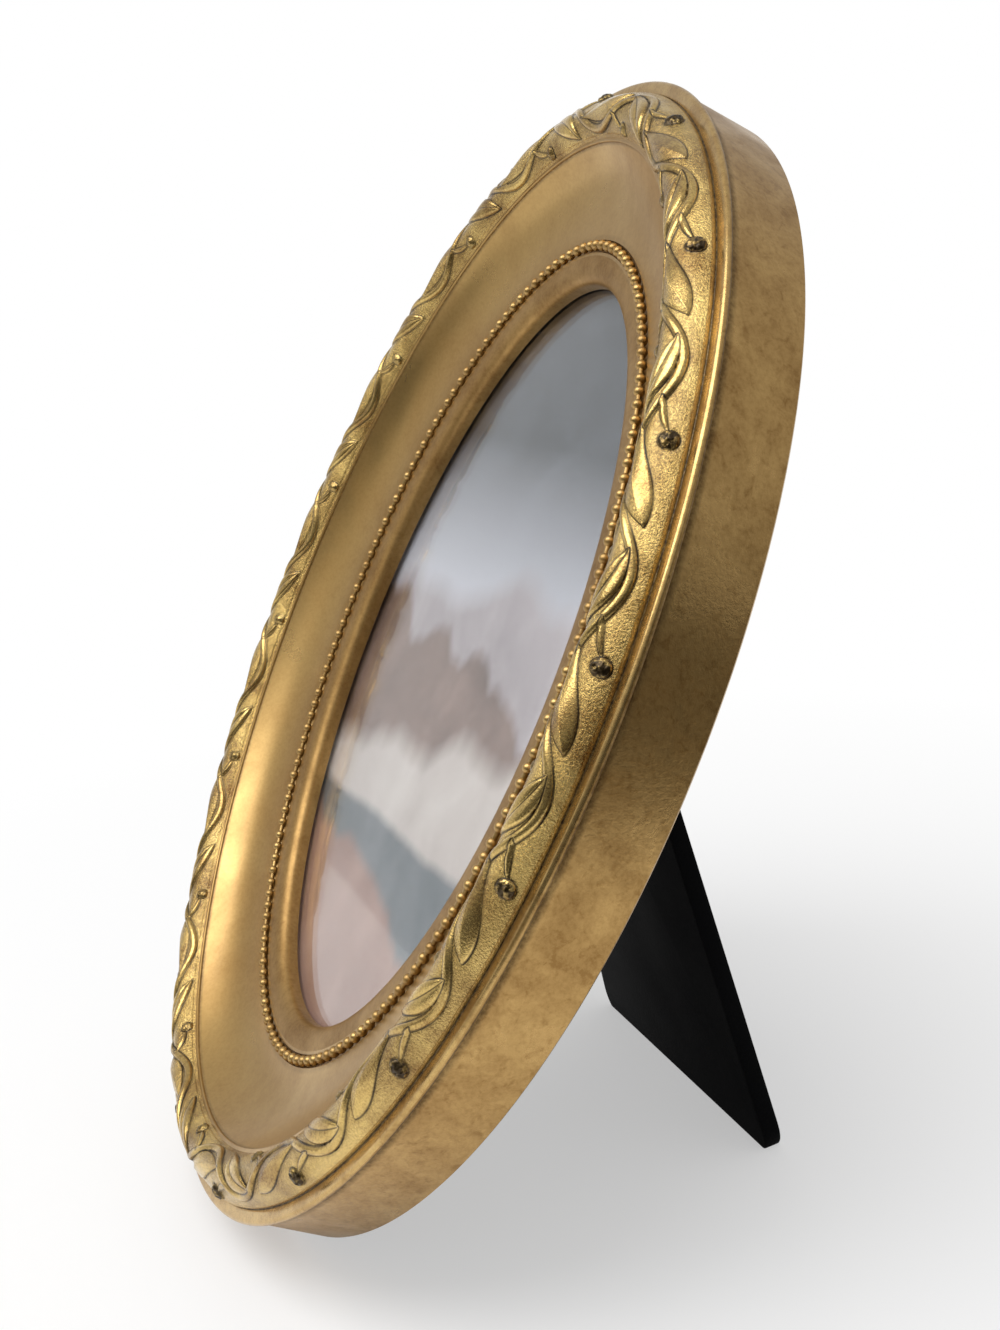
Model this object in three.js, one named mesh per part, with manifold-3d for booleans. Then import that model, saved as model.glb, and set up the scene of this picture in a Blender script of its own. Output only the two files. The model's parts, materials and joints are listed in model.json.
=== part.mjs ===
// Oval picture frame: a gilded moulding with a vine garland and a bead string, glazed, with an easel back.

import * as THREE from 'three';
import { mergeVertices } from 'three/addons/utils/BufferGeometryUtils.js';
import Module from 'manifold-3d';

const wasm = await Module();
wasm.setup();

// All sizes are in millimetres. On the moulding an inset runs inwards from the side wall,
// and a height runs forwards from the back face.

// The moulding, from its side wall in to the sight edge
const FRAME_WIDTH = 164;
const FRAME_HEIGHT = 212;
const WALL_HEIGHT = 13.6;
const LIP_HEIGHT = 1.8;
const LIP_OVERHANG = 0.6;
const LIP_WIDTH = 2;
const LIP_UNDERCUT = 0.4;
const TORUS_STEP = 0.5;
const TORUS_WIDTH = 9.6;
const TORUS_HEIGHT = 3.6;
const TORUS_FULLNESS = 0.2;
const BAND_RISE = 2;
const BAND_WIDTH = 0.86;
const BAND_STEP = 0.5;
const COVE_WIDTH = 14.5;
const SIGHT_LIP_HEIGHT = 3.8;
const SIGHT_LIP_WIDTH = 5.4;
const SIGHT_EDGE_HEIGHT = 1.4;
const RABBET_OVERLAP = 3.6;

// The vine on the torus: lengths along it, angles round it from the outer foot over the crest
const VINE_PITCH = 32.3;
const VINE_START = 17.4;
const VINE_MIDDLE_ANGLE = 86;
const VINE_SWING_ANGLE = 40;
const VINE_SPREAD = 4.2;
const STEM_WIDTH = 1.5;
const STEM_RISE = 0.9;
const ALMOND_LEAF = { width: 4.2, thickness: 2.4, belly: 1.6, stations: 4, sides: 5 };
const LONG_LEAF = { width: 3.4, thickness: 2.4, belly: 1, stations: 4, sides: 5 };
const STALK = { width: 1.3, thickness: 1.7, belly: 1, stations: 3, sides: 3 };
const OUTER_LEAF = { from: 9.5, along: 24.7, degrees: 48, form: ALMOND_LEAF };
const INNER_LEAF = { from: -4, along: 7.5, degrees: 132, form: LONG_LEAF };
const OUTER_BERRY = { from: 5, along: 12, degrees: 43, form: STALK };
const INNER_BERRY = { from: -9.5, along: -4, degrees: 127, form: STALK };
const BERRY_RADIUS = 1.4;
const BERRY_RISE = 1.2;

// The string of beads between the cove and the sight lip
const BEAD_DIAMETER = 1.9;
const BEAD_PITCH = 2.62;
const BEAD_RISE = 0.35;
const BEAD_MARGIN = 0.55;
const BEAD_NECK = 0.5;

// What lies in the rabbet, from the front to the back
const GLASS_THICKNESS = 1.8;
const PRINT_THICKNESS = 0.25;
const CARD_THICKNESS = 1;
const BOARD_THICKNESS = 2;
const BOARD_RECESS = 0.15;

// The easel strut and its hinge
const HINGE_HEIGHT = 21;
const HINGE_WIDTH = 40;
const HINGE_MIDDLE_WIDTH = 15;
const LEAF_PLATE_THICKNESS = 0.8;
const BACK_PLATE_LENGTH = 16;
const STRUT_PLATE_LENGTH = 18;
const STRUT_PLATE_OFFSET = 0.2;
const PIN_RADIUS = 0.8;
const PIN_END = 0.5;
const STOP_WIDTH = 10;
const STOP_LENGTH = 7;
const STRUT_LENGTH = 111.5;
const STRUT_TOP_GAP = 1.2;
const STRUT_TOP_WIDTH = 44;
const STRUT_FOOT_WIDTH = 72;
const STRUT_THICKNESS = 3.6;
const STRUT_CORNER = 4;
const STRUT_OPEN_ANGLE = 40;

// The rivets of the hinge
const RIVET_RADIUS = 1.2;
const RIVET_HEAD_RADIUS = 2.2;
const RIVET_HEAD_HEIGHT = 0.9;
const RIVET_SPACING = 26;
const BACK_RIVET_DISTANCE = 10;
const STRUT_RIVET_DISTANCE = 12;
const COUNTERBORE_DEPTH = 0.9;

// The turn buttons that hold the back in, with their screws
const BUTTON_ANGLES = [40, 140, 220, 320];
const BUTTON_SETBACK = 9;
const BUTTON_REACH = 15;
const BUTTON_RADIUS = 4;
const BUTTON_TIP_RADIUS = 2.6;
const BUTTON_THICKNESS = 1;
const SCREW_RADIUS = 1.4;
const SCREW_HEAD_RADIUS = 2.8;
const SCREW_HEAD_HEIGHT = 1.2;
const SCREW_LENGTH = 7;

// The hanging ring and its strap
const HANGER_INSET = 9;
const STRAP_WIDTH = 9;
const STRAP_LENGTH = 17;
const STRAP_THICKNESS = 0.8;
const STRAP_SCREW_DISTANCE = 12;
const RING_WIDTH = 14.5;
const RING_DROP = 12.6;
const RING_WIRE_RADIUS = 0.9;

// Room left where pieces touch, fit and turn
const CONTACT_GAP = 0.3;
const VINE_BED = 0.5;
const RABBET_CLEARANCE = 0.4;
const HOLE_CLEARANCE = 0.3;

// How finely the round forms are cut into facets
const OVAL_SEGMENTS = 64;
const TORUS_STEPS = 6;
const COVE_STEPS = 4;
const CHANNEL_STEPS = 3;
const LIP_STEPS = 3;
const STEM_STATIONS = 7;
const STEM_SIDES = 5;
const BERRY_SIDES = 5;
const BERRY_RINGS = 3;
const BEAD_SIDES = 5;
const ROUND_SIDES = 8;
const RING_STATIONS = 28;
const WIRE_SIDES = 6;
const MERGE_DISTANCE = 1e-4;

const gold = new THREE.MeshStandardMaterial({ color: 0x9c7a44, roughness: 0.38, metalness: 0.85 });
const brightGold = new THREE.MeshStandardMaterial({ color: 0xb8934f, roughness: 0.3, metalness: 0.9 });
const glass = new THREE.MeshStandardMaterial({ color: 0xe4ecee, roughness: 0.08, metalness: 0 });
const photoPaper = new THREE.MeshStandardMaterial({ color: 0xa9a3a6, roughness: 0.45, metalness: 0 });
const greyCard = new THREE.MeshStandardMaterial({ color: 0xb9ae99, roughness: 0.9, metalness: 0 });
const blackBoard = new THREE.MeshStandardMaterial({ color: 0x0d0d0f, roughness: 0.85, metalness: 0 });
const nickel = new THREE.MeshStandardMaterial({ color: 0xb9b7b0, roughness: 0.32, metalness: 1 });
const brassPlate = new THREE.MeshStandardMaterial({ color: 0xb79a55, roughness: 0.35, metalness: 1 });

// A closed body: shared corners merged, flat triangles dropped, faces turned outwards.
function closedBody(geometry) {
  geometry.deleteAttribute('normal');
  geometry.deleteAttribute('uv');
  const merged = mergeVertices(geometry, MERGE_DISTANCE);
  const corners = merged.getIndex().array;
  const kept = [];
  for (let i = 0; i < corners.length; i += 3) {
    const [a, b, c] = corners.slice(i, i + 3);
    if (a !== b && b !== c && c !== a) {
      kept.push(a, b, c);
    }
  }
  merged.setIndex(kept);
  if (signedVolume(merged) < 0) {
    merged.setIndex(kept.reverse());
  }
  return merged;
}

function signedVolume(geometry) {
  const position = geometry.getAttribute('position');
  const corners = geometry.getIndex().array;
  const point = [new THREE.Vector3(), new THREE.Vector3(), new THREE.Vector3()];
  let volume = 0;
  for (let i = 0; i < corners.length; i += 3) {
    point.forEach((p, k) => p.fromBufferAttribute(position, corners[i + k]));
    volume += point[0].dot(point[1].clone().cross(point[2])) / 6;
  }
  return volume;
}

function solid(geometry) {
  const body = closedBody(geometry);
  const vertProperties = new Float32Array(body.getAttribute('position').array);
  const triVerts = new Uint32Array(body.getIndex().array);
  return new wasm.Manifold(new wasm.Mesh({ numProp: 3, vertProperties, triVerts }));
}

function geometryOf(body) {
  const mesh = body.getMesh();
  const geometry = new THREE.BufferGeometry();
  geometry.setAttribute('position', new THREE.BufferAttribute(mesh.vertProperties, mesh.numProp));
  geometry.setIndex(new THREE.BufferAttribute(mesh.triVerts, 1));
  return geometry;
}

function join(solids) {
  return solids.reduce((whole, piece) => whole.add(piece));
}

function addPiece(parent, name, geometry, material) {
  const piece = new THREE.Mesh(closedBody(geometry), material);
  piece.name = name;
  parent.add(piece);
  return piece;
}

function placedGroup(parent, x, y, z) {
  const group = new THREE.Group();
  group.position.set(x, y, z);
  parent.add(group);
  return group;
}

// The oval. Angles run clockwise from the top as seen from the front, which faces -Y.
const halfWidth = FRAME_WIDTH / 2;
const halfHeight = FRAME_HEIGHT / 2;

function ovalOutward(angle) {
  const outward = new THREE.Vector2(halfHeight * Math.sin(angle), halfWidth * Math.cos(angle));
  return outward.normalize();
}

function ovalPoint(angle, inset, height) {
  const outward = ovalOutward(angle);
  const x = halfWidth * Math.sin(angle) - inset * outward.x;
  const z = halfHeight * Math.cos(angle) - inset * outward.y;
  return new THREE.Vector3(x, -height, z);
}

class OvalLine extends THREE.Curve {
  constructor(inset) {
    super();
    this.inset = inset;
  }

  getPoint(t) {
    return ovalPoint(2 * Math.PI * t, this.inset, 0);
  }

  angleAt(share) {
    return 2 * Math.PI * this.getUtoTmapping(share - Math.floor(share));
  }
}

// A moulding of one section all round: the section is turned about an axis, then every point
// is carried from the round to the oval along the oval's own normals.
function ovalRing(section) {
  const turned = new THREE.LatheGeometry([...section, section[0]], OVAL_SEGMENTS);
  const position = turned.getAttribute('position');
  const pointsPerTurn = section.length + 1;
  for (let i = 0; i < position.count; i += 1) {
    const angle = (2 * Math.PI * Math.floor(i / pointsPerTurn)) / OVAL_SEGMENTS;
    const corner = section[(i % pointsPerTurn) % section.length];
    const place = ovalPoint(angle, corner.x, corner.y);
    position.setXYZ(i, place.x, place.y, place.z);
  }
  return turned;
}

// A flat piece with an oval outline, its back face at the given height.
function ovalPlate(inset, thickness, back) {
  const outline = new THREE.Shape();
  for (let i = 0; i < OVAL_SEGMENTS; i += 1) {
    const place = ovalPoint((2 * Math.PI * i) / OVAL_SEGMENTS, inset, 0);
    if (i === 0) {
      outline.moveTo(place.x, place.z);
    } else {
      outline.lineTo(place.x, place.z);
    }
  }
  return plate(outline, thickness, back);
}

// A flat piece cut to an outline in the plane of the frame, its back face at the given height.
function plate(outline, thickness, back) {
  const sheet = new THREE.ExtrudeGeometry(outline, {
    depth: thickness,
    bevelEnabled: false,
    curveSegments: ROUND_SIDES / 2,
  });
  sheet.rotateX(Math.PI / 2);
  sheet.translate(0, -back, 0);
  return sheet;
}

function arcPoints(centre, radius, from, to, steps) {
  const points = [];
  for (let i = 0; i <= steps; i += 1) {
    const turn = from + ((to - from) * i) / steps;
    points.push(new THREE.Vector2(centre.x - radius * Math.cos(turn), centre.y + radius * Math.sin(turn)));
  }
  return points;
}

function rodAlongX(radius, length) {
  const rod = new THREE.CylinderGeometry(radius, radius, length, ROUND_SIDES);
  rod.rotateZ(Math.PI / 2);
  return rod;
}

function drill(radius, from, to) {
  const bit = new THREE.CylinderGeometry(radius, radius, to - from, ROUND_SIDES);
  bit.translate(0, (from + to) / 2, 0);
  return bit;
}

// Heights and insets that follow from the sizes
const boardFront = BOARD_RECESS + BOARD_THICKNESS;
const cardBack = boardFront + CONTACT_GAP;
const printBack = cardBack + CARD_THICKNESS + CONTACT_GAP;
const glassBack = printBack + PRINT_THICKNESS + CONTACT_GAP;
const rabbetDepth = glassBack + GLASS_THICKNESS + CONTACT_GAP;
const lipTop = WALL_HEIGHT + LIP_HEIGHT;
const halfTorus = TORUS_WIDTH / 2;
const torusInset = LIP_WIDTH + halfTorus;
const torusFoot = lipTop + TORUS_STEP;
const bandTop = lipTop + BAND_RISE;
const torusEnd = Math.PI - torusTurnAt(bandTop);
const bandInset = torusPoint(torusEnd, 0).x + BAND_WIDTH;
const seatHeight = rabbetDepth + SIGHT_LIP_HEIGHT;
const coveEnd = bandInset + COVE_WIDTH;
const coveDrop = bandTop - BAND_STEP - seatHeight;
const coveRadius = (COVE_WIDTH ** 2 + coveDrop ** 2) / (2 * coveDrop);
const channelRadius = BEAD_DIAMETER / 2 + CONTACT_GAP;
const channelDip = Math.asin(BEAD_RISE / channelRadius);
const beadInset = coveEnd + BEAD_MARGIN + channelRadius * Math.cos(channelDip);
const beadHeight = seatHeight + BEAD_RISE;
const lipStart = beadInset + channelRadius * Math.cos(channelDip);
const sightInset = lipStart + SIGHT_LIP_WIDTH;
const rabbetInset = sightInset - RABBET_OVERLAP;
const plateInset = rabbetInset + RABBET_CLEARANCE;
const buttonInset = rabbetInset - BUTTON_SETBACK;

// The torus is a low arch. Its turn runs from the outer foot over the crest to the inner foot, and its
// fullness is the share of a half ellipse in it, the rest being a parabola.
function torusPoint(turn, lift) {
  const rise = TORUS_FULLNESS * Math.sin(turn) + (1 - TORUS_FULLNESS) * Math.sin(turn) ** 2;
  const steepness = Math.cos(turn) * (TORUS_FULLNESS + 2 * (1 - TORUS_FULLNESS) * Math.sin(turn));
  const outward = new THREE.Vector2(-TORUS_HEIGHT * steepness, halfTorus * Math.sin(turn)).normalize();
  const place = new THREE.Vector2(torusInset - halfTorus * Math.cos(turn), torusFoot + TORUS_HEIGHT * rise);
  return place.addScaledVector(outward, lift);
}

// The turn at which the outer side of the torus reaches a height
function torusTurnAt(height) {
  const rise = (height - torusFoot) / TORUS_HEIGHT;
  const bent = 1 - TORUS_FULLNESS;
  return Math.asin((Math.sqrt(TORUS_FULLNESS ** 2 + 4 * bent * rise) - TORUS_FULLNESS) / (2 * bent));
}

// The section of the moulding: wall, lip, torus, band, cove, bead channel, sight lip, rabbet
function mouldingSection() {
  const section = [
    new THREE.Vector2(0, 0),
    new THREE.Vector2(0, WALL_HEIGHT),
    new THREE.Vector2(-LIP_OVERHANG, WALL_HEIGHT + LIP_UNDERCUT),
    new THREE.Vector2(-LIP_OVERHANG, lipTop),
    new THREE.Vector2(LIP_WIDTH, lipTop),
  ];
  for (let i = 0; i <= TORUS_STEPS; i += 1) {
    section.push(torusPoint((torusEnd * i) / TORUS_STEPS, 0));
  }
  section.push(new THREE.Vector2(bandInset, bandTop));
  const coveStart = Math.asin(COVE_WIDTH / coveRadius);
  for (let i = 0; i <= COVE_STEPS; i += 1) {
    const turn = coveStart * (1 - i / COVE_STEPS);
    const height = seatHeight + coveRadius * (1 - Math.cos(turn));
    section.push(new THREE.Vector2(coveEnd - coveRadius * Math.sin(turn), height));
  }
  const beadCentre = new THREE.Vector2(beadInset, beadHeight);
  section.push(...arcPoints(beadCentre, channelRadius, -channelDip, channelDip - Math.PI, CHANNEL_STEPS));
  const sightTop = rabbetDepth + SIGHT_EDGE_HEIGHT;
  const lipCurve = new THREE.QuadraticBezierCurve(
    new THREE.Vector2(lipStart + BEAD_MARGIN, seatHeight),
    new THREE.Vector2(sightInset, seatHeight),
    new THREE.Vector2(sightInset, sightTop),
  );
  section.push(...lipCurve.getPoints(LIP_STEPS));
  section.push(new THREE.Vector2(sightInset, rabbetDepth));
  section.push(new THREE.Vector2(rabbetInset, rabbetDepth));
  section.push(new THREE.Vector2(rabbetInset, 0));
  return section;
}

// Where the back's fittings are screwed on: each place has its own group, -Z towards the middle.
function backPlace(parent, degrees, inset) {
  const angle = THREE.MathUtils.degToRad(degrees);
  const place = ovalPoint(angle, inset, 0);
  const group = placedGroup(parent, place.x, place.y, place.z);
  const outward = ovalOutward(angle);
  group.rotation.y = Math.atan2(outward.x, outward.y);
  return group;
}

function frameMoulding() {
  const pilotHole = drill(SCREW_RADIUS + HOLE_CLEARANCE, -SCREW_LENGTH - CONTACT_GAP, SCREW_LENGTH);
  const places = BUTTON_ANGLES.map((degrees) => [degrees, buttonInset]);
  places.push([0, HANGER_INSET + STRAP_SCREW_DISTANCE]);
  let body = solid(ovalRing(mouldingSection()));
  for (const [degrees, inset] of places) {
    const place = ovalPoint(THREE.MathUtils.degToRad(degrees), inset, 0);
    body = body.subtract(solid(pilotHole.clone().translate(place.x, place.y, place.z)));
  }
  return geometryOf(body);
}

// The vine is laid out flat and wrapped onto the torus. Its underside lies close along the ground.
const crestLine = new OvalLine(torusInset);
const vineLength = crestLine.getLength();
const vineRepeats = Math.round(vineLength / VINE_PITCH);
const vinePitch = vineLength / vineRepeats;

function onTorus(along, degrees, lift) {
  const place = torusPoint(THREE.MathUtils.degToRad(degrees), VINE_BED + lift);
  const angle = crestLine.angleAt((VINE_START + along) / vineLength);
  return ovalPoint(angle, place.x, place.y);
}

function wrapOnTorus(flat, along, degrees) {
  const position = flat.getAttribute('position');
  for (let i = 0; i < position.count; i += 1) {
    const across = degrees + THREE.MathUtils.radToDeg(position.getY(i) / VINE_SPREAD);
    const place = onTorus(along + position.getX(i), across, Math.max(position.getZ(i), 0));
    position.setXYZ(i, place.x, place.y, place.z);
  }
  return flat;
}

function stemAngle(along) {
  return VINE_MIDDLE_ANGLE - VINE_SWING_ANGLE * Math.cos((2 * Math.PI * along) / vinePitch);
}

// The stem waves from side to side over the crest; its outermost point starts each repeat.
function vineStem() {
  const stations = vineRepeats * STEM_STATIONS;
  const stem = new THREE.TorusGeometry(1, 1, STEM_SIDES, stations);
  const position = stem.getAttribute('position');
  const swing = THREE.MathUtils.degToRad(VINE_SWING_ANGLE) * VINE_SPREAD;
  for (let i = 0; i < position.count; i += 1) {
    const along = (vinePitch * (i % (stations + 1))) / STEM_STATIONS;
    const turn = Math.PI / 2 + (2 * Math.PI * Math.floor(i / (stations + 1))) / STEM_SIDES;
    const phase = (2 * Math.PI * along) / vinePitch;
    const slope = Math.atan((swing * Math.sin(phase) * 2 * Math.PI) / vinePitch);
    const side = (STEM_WIDTH / 2) * Math.cos(turn);
    const across = stemAngle(along) + THREE.MathUtils.radToDeg((side * Math.cos(slope)) / VINE_SPREAD);
    const lift = Math.max(STEM_RISE * Math.sin(turn), 0);
    const place = onTorus(along - side * Math.sin(slope), across, lift);
    position.setXYZ(i, place.x, place.y, place.z);
  }
  return stem;
}

// An offshoot is a pointed spindle with a ridge along its top. It starts in the stem, ends at a given
// place on the torus, and its belly is the power that moves its widest part towards the tip.
function offshoot(from, to, degrees, form) {
  const { width, thickness, belly, stations, sides } = form;
  const rise = THREE.MathUtils.degToRad(degrees - stemAngle(from)) * VINE_SPREAD;
  const length = Math.hypot(to - from, rise);
  const outline = [];
  for (let i = 0; i <= stations; i += 1) {
    const share = i / stations;
    const bulge = i % stations === 0 ? 0 : Math.sin(Math.PI * share ** belly);
    outline.push(new THREE.Vector2((width / 2) * bulge, length * share));
  }
  const spindle = new THREE.LatheGeometry(outline, sides);
  spindle.scale(1, 1, thickness / width);
  spindle.rotateZ(Math.atan2(rise, to - from) - Math.PI / 2);
  return wrapOnTorus(spindle, from, stemAngle(from));
}

function berry(along, degrees) {
  const ball = new THREE.SphereGeometry(BERRY_RADIUS, BERRY_SIDES, BERRY_RINGS);
  return wrapOnTorus(ball.scale(1, 1, BERRY_RISE / BERRY_RADIUS), along, degrees);
}

// One repeat: an almond leaf and a berry on the outer side, a long leaf and a berry on the inner side
function vineRepeat(start) {
  const berries = [OUTER_BERRY, INNER_BERRY];
  const shoots = [OUTER_LEAF, INNER_LEAF, ...berries].map((shoot) => {
    return offshoot(start + shoot.from, start + shoot.along, shoot.degrees, shoot.form);
  });
  return [...shoots, ...berries.map((spot) => berry(start + spot.along, spot.degrees))];
}

function vineGarland() {
  const pieces = [solid(vineStem())];
  for (let i = 0; i < vineRepeats; i += 1) {
    pieces.push(...vineRepeat(i * vinePitch).map(solid));
  }
  return geometryOf(join(pieces));
}

// Beads in a row: a tube that swells and narrows once for each bead
function beadString() {
  const line = new OvalLine(beadInset);
  const beads = Math.round(line.getLength() / BEAD_PITCH);
  const stations = 2 * beads;
  const string = new THREE.TorusGeometry(1, 1, BEAD_SIDES, stations);
  const position = string.getAttribute('position');
  for (let i = 0; i < position.count; i += 1) {
    const station = (i % (stations + 1)) % stations;
    const turn = (2 * Math.PI * Math.floor(i / (stations + 1))) / BEAD_SIDES;
    const radius = (BEAD_DIAMETER / 2) * (station % 2 === 0 ? 1 : BEAD_NECK);
    const inset = beadInset + radius * Math.cos(turn);
    const place = ovalPoint(line.angleAt(station / stations), inset, beadHeight + radius * Math.sin(turn));
    position.setXYZ(i, place.x, place.y, place.z);
  }
  return string;
}

// The hinge of the strut. Its axis lies behind the back board, and the knuckles are rolled from the plates.
const knuckleRadius = PIN_RADIUS + HOLE_CLEARANCE + LEAF_PLATE_THICKNESS;
const hingeAxis = CONTACT_GAP + knuckleRadius - BOARD_RECESS;
const notchDepth = knuckleRadius + CONTACT_GAP;
const halfHinge = HINGE_WIDTH / 2;
const halfMiddle = HINGE_MIDDLE_WIDTH / 2;
const backPlateFront = knuckleRadius;
const strutFace = STRUT_PLATE_OFFSET + LEAF_PLATE_THICKNESS + CONTACT_GAP;
const rivetHole = RIVET_RADIUS + HOLE_CLEARANCE;
const openAngle = THREE.MathUtils.degToRad(STRUT_OPEN_ANGLE);

function punch(outline, x, y, radius) {
  const hole = new THREE.Path();
  hole.absarc(x, y, radius, 0, 2 * Math.PI, true);
  outline.holes.push(hole);
}

function backLeaf() {
  const outline = new THREE.Shape();
  const inner = halfMiddle + CONTACT_GAP;
  outline.moveTo(-halfHinge, 0);
  outline.lineTo(-inner, 0);
  outline.lineTo(-inner, notchDepth);
  outline.lineTo(inner, notchDepth);
  outline.lineTo(inner, 0);
  outline.lineTo(halfHinge, 0);
  outline.lineTo(halfHinge, BACK_PLATE_LENGTH);
  outline.lineTo(-halfHinge, BACK_PLATE_LENGTH);
  outline.closePath();
  punch(outline, -RIVET_SPACING / 2, BACK_RIVET_DISTANCE, rivetHole);
  punch(outline, RIVET_SPACING / 2, BACK_RIVET_DISTANCE, rivetHole);
  const sheet = plate(outline, LEAF_PLATE_THICKNESS, backPlateFront - LEAF_PLATE_THICKNESS);
  const knuckleLength = halfHinge - inner;
  const knuckles = [-1, 1].map((side) => {
    const roll = rodAlongX(knuckleRadius, knuckleLength);
    return solid(roll.translate(side * (inner + knuckleLength / 2), 0, 0));
  });
  const bore = solid(rodAlongX(PIN_RADIUS + HOLE_CLEARANCE, 2 * HINGE_WIDTH));
  return geometryOf(join([solid(sheet), ...knuckles]).subtract(bore));
}

// The strut's own leaf carries the tongue that comes down on the back leaf and stops the strut.
function strutLeaf() {
  const outline = new THREE.Shape();
  outline.moveTo(-halfHinge, -STRUT_PLATE_LENGTH);
  outline.lineTo(halfHinge, -STRUT_PLATE_LENGTH);
  outline.lineTo(halfHinge, -notchDepth);
  outline.lineTo(halfMiddle, -notchDepth);
  outline.lineTo(halfMiddle, 0);
  outline.lineTo(-halfMiddle, 0);
  outline.lineTo(-halfMiddle, -notchDepth);
  outline.lineTo(-halfHinge, -notchDepth);
  outline.closePath();
  punch(outline, -RIVET_SPACING / 2, -STRUT_RIVET_DISTANCE, rivetHole);
  punch(outline, RIVET_SPACING / 2, -STRUT_RIVET_DISTANCE, rivetHole);
  const sheet = plate(outline, LEAF_PLATE_THICKNESS, -STRUT_PLATE_OFFSET - LEAF_PLATE_THICKNESS);
  const roll = rodAlongX(knuckleRadius, HINGE_MIDDLE_WIDTH);
  const tongue = new THREE.BoxGeometry(STOP_WIDTH, LEAF_PLATE_THICKNESS, STOP_LENGTH);
  const tongueBack = CONTACT_GAP + LEAF_PLATE_THICKNESS / 2 + LEAF_PLATE_THICKNESS - backPlateFront;
  tongue.translate(0, tongueBack, STOP_LENGTH / 2);
  tongue.rotateX(-openAngle);
  const bore = solid(rodAlongX(PIN_RADIUS + HOLE_CLEARANCE, 2 * HINGE_WIDTH));
  return geometryOf(join([solid(sheet), solid(roll), solid(tongue)]).subtract(bore));
}

// How far the frame leans back: its lower back edge and the strut's foot stand on one level.
const footFront = new THREE.Vector3(0, strutFace, -STRUT_LENGTH);
footFront.applyAxisAngle(new THREE.Vector3(1, 0, 0), openAngle);
footFront.add(new THREE.Vector3(0, hingeAxis, HINGE_HEIGHT));
const lean = Math.atan2(footFront.z + halfHeight, footFront.y);

// The strut widens towards its foot, has round corners, and its end is cut to lie on the table.
function strutBoard() {
  const footTilt = openAngle - lean;
  const spare = STRUT_THICKNESS * Math.abs(Math.tan(footTilt)) + CONTACT_GAP;
  const top = -(notchDepth + STRUT_TOP_GAP);
  const foot = -STRUT_LENGTH - spare;
  const halfTop = STRUT_TOP_WIDTH / 2;
  const halfFoot = STRUT_FOOT_WIDTH / 2;
  const side = Math.atan2(halfFoot - halfTop, top - foot);
  const turn = STRUT_CORNER * Math.tan((Math.PI / 2 - side) / 2 + side);
  const outline = new THREE.Shape();
  outline.moveTo(-halfTop, top);
  outline.lineTo(-halfFoot + turn * Math.sin(side), foot + turn * Math.cos(side));
  outline.quadraticCurveTo(-halfFoot, foot, -halfFoot + turn, foot);
  outline.lineTo(halfFoot - turn, foot);
  outline.quadraticCurveTo(halfFoot, foot, halfFoot - turn * Math.sin(side), foot + turn * Math.cos(side));
  outline.lineTo(halfTop, top);
  outline.closePath();
  punch(outline, -RIVET_SPACING / 2, -STRUT_RIVET_DISTANCE, rivetHole);
  punch(outline, RIVET_SPACING / 2, -STRUT_RIVET_DISTANCE, rivetHole);
  const board = plate(outline, STRUT_THICKNESS, -strutFace - STRUT_THICKNESS);
  const table = new THREE.BoxGeometry(2 * STRUT_FOOT_WIDTH, STRUT_LENGTH, STRUT_LENGTH);
  table.translate(0, 0, -STRUT_LENGTH / 2);
  table.rotateX(-footTilt);
  table.translate(0, strutFace, -STRUT_LENGTH);
  return geometryOf(solid(board).subtract(solid(table)));
}

// A rivet along Y: a low dome at its near end and a flat head at its far end
function rivet(from, to, farHeight) {
  const near = from - RIVET_HEAD_HEIGHT;
  const far = to + farHeight;
  const outline = [
    new THREE.Vector2(0, near),
    new THREE.Vector2(0.7 * RIVET_HEAD_RADIUS, near + 0.3 * RIVET_HEAD_HEIGHT),
    new THREE.Vector2(RIVET_HEAD_RADIUS, from),
    new THREE.Vector2(RIVET_RADIUS, from),
    new THREE.Vector2(RIVET_RADIUS, to),
    new THREE.Vector2(RIVET_HEAD_RADIUS, to),
    new THREE.Vector2(RIVET_HEAD_RADIUS, far),
    new THREE.Vector2(0, far),
  ];
  return new THREE.LatheGeometry(outline, ROUND_SIDES);
}

function panScrew(clamped) {
  const seat = CONTACT_GAP + clamped + CONTACT_GAP;
  const outline = [
    new THREE.Vector2(0, -SCREW_LENGTH),
    new THREE.Vector2(0.4 * SCREW_RADIUS, -SCREW_LENGTH),
    new THREE.Vector2(SCREW_RADIUS, SCREW_RADIUS - SCREW_LENGTH),
    new THREE.Vector2(SCREW_RADIUS, seat),
    new THREE.Vector2(SCREW_HEAD_RADIUS, seat),
    new THREE.Vector2(SCREW_HEAD_RADIUS, seat + 0.5 * SCREW_HEAD_HEIGHT),
    new THREE.Vector2(0.7 * SCREW_HEAD_RADIUS, seat + SCREW_HEAD_HEIGHT),
    new THREE.Vector2(0, seat + SCREW_HEAD_HEIGHT),
  ];
  return new THREE.LatheGeometry(outline, ROUND_SIDES);
}

// A turn button is round at its screw and narrows to a round tip.
function turnButton() {
  const tip = BUTTON_REACH - BUTTON_TIP_RADIUS;
  const tilt = Math.asin((BUTTON_RADIUS - BUTTON_TIP_RADIUS) / tip);
  const outline = new THREE.Shape();
  outline.absarc(0, 0, BUTTON_RADIUS, -tilt, Math.PI + tilt, false);
  outline.absarc(0, -tip, BUTTON_TIP_RADIUS, Math.PI + tilt, 2 * Math.PI - tilt, false);
  outline.closePath();
  punch(outline, 0, 0, SCREW_RADIUS + HOLE_CLEARANCE);
  return plate(outline, BUTTON_THICKNESS, -CONTACT_GAP - BUTTON_THICKNESS);
}

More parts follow.
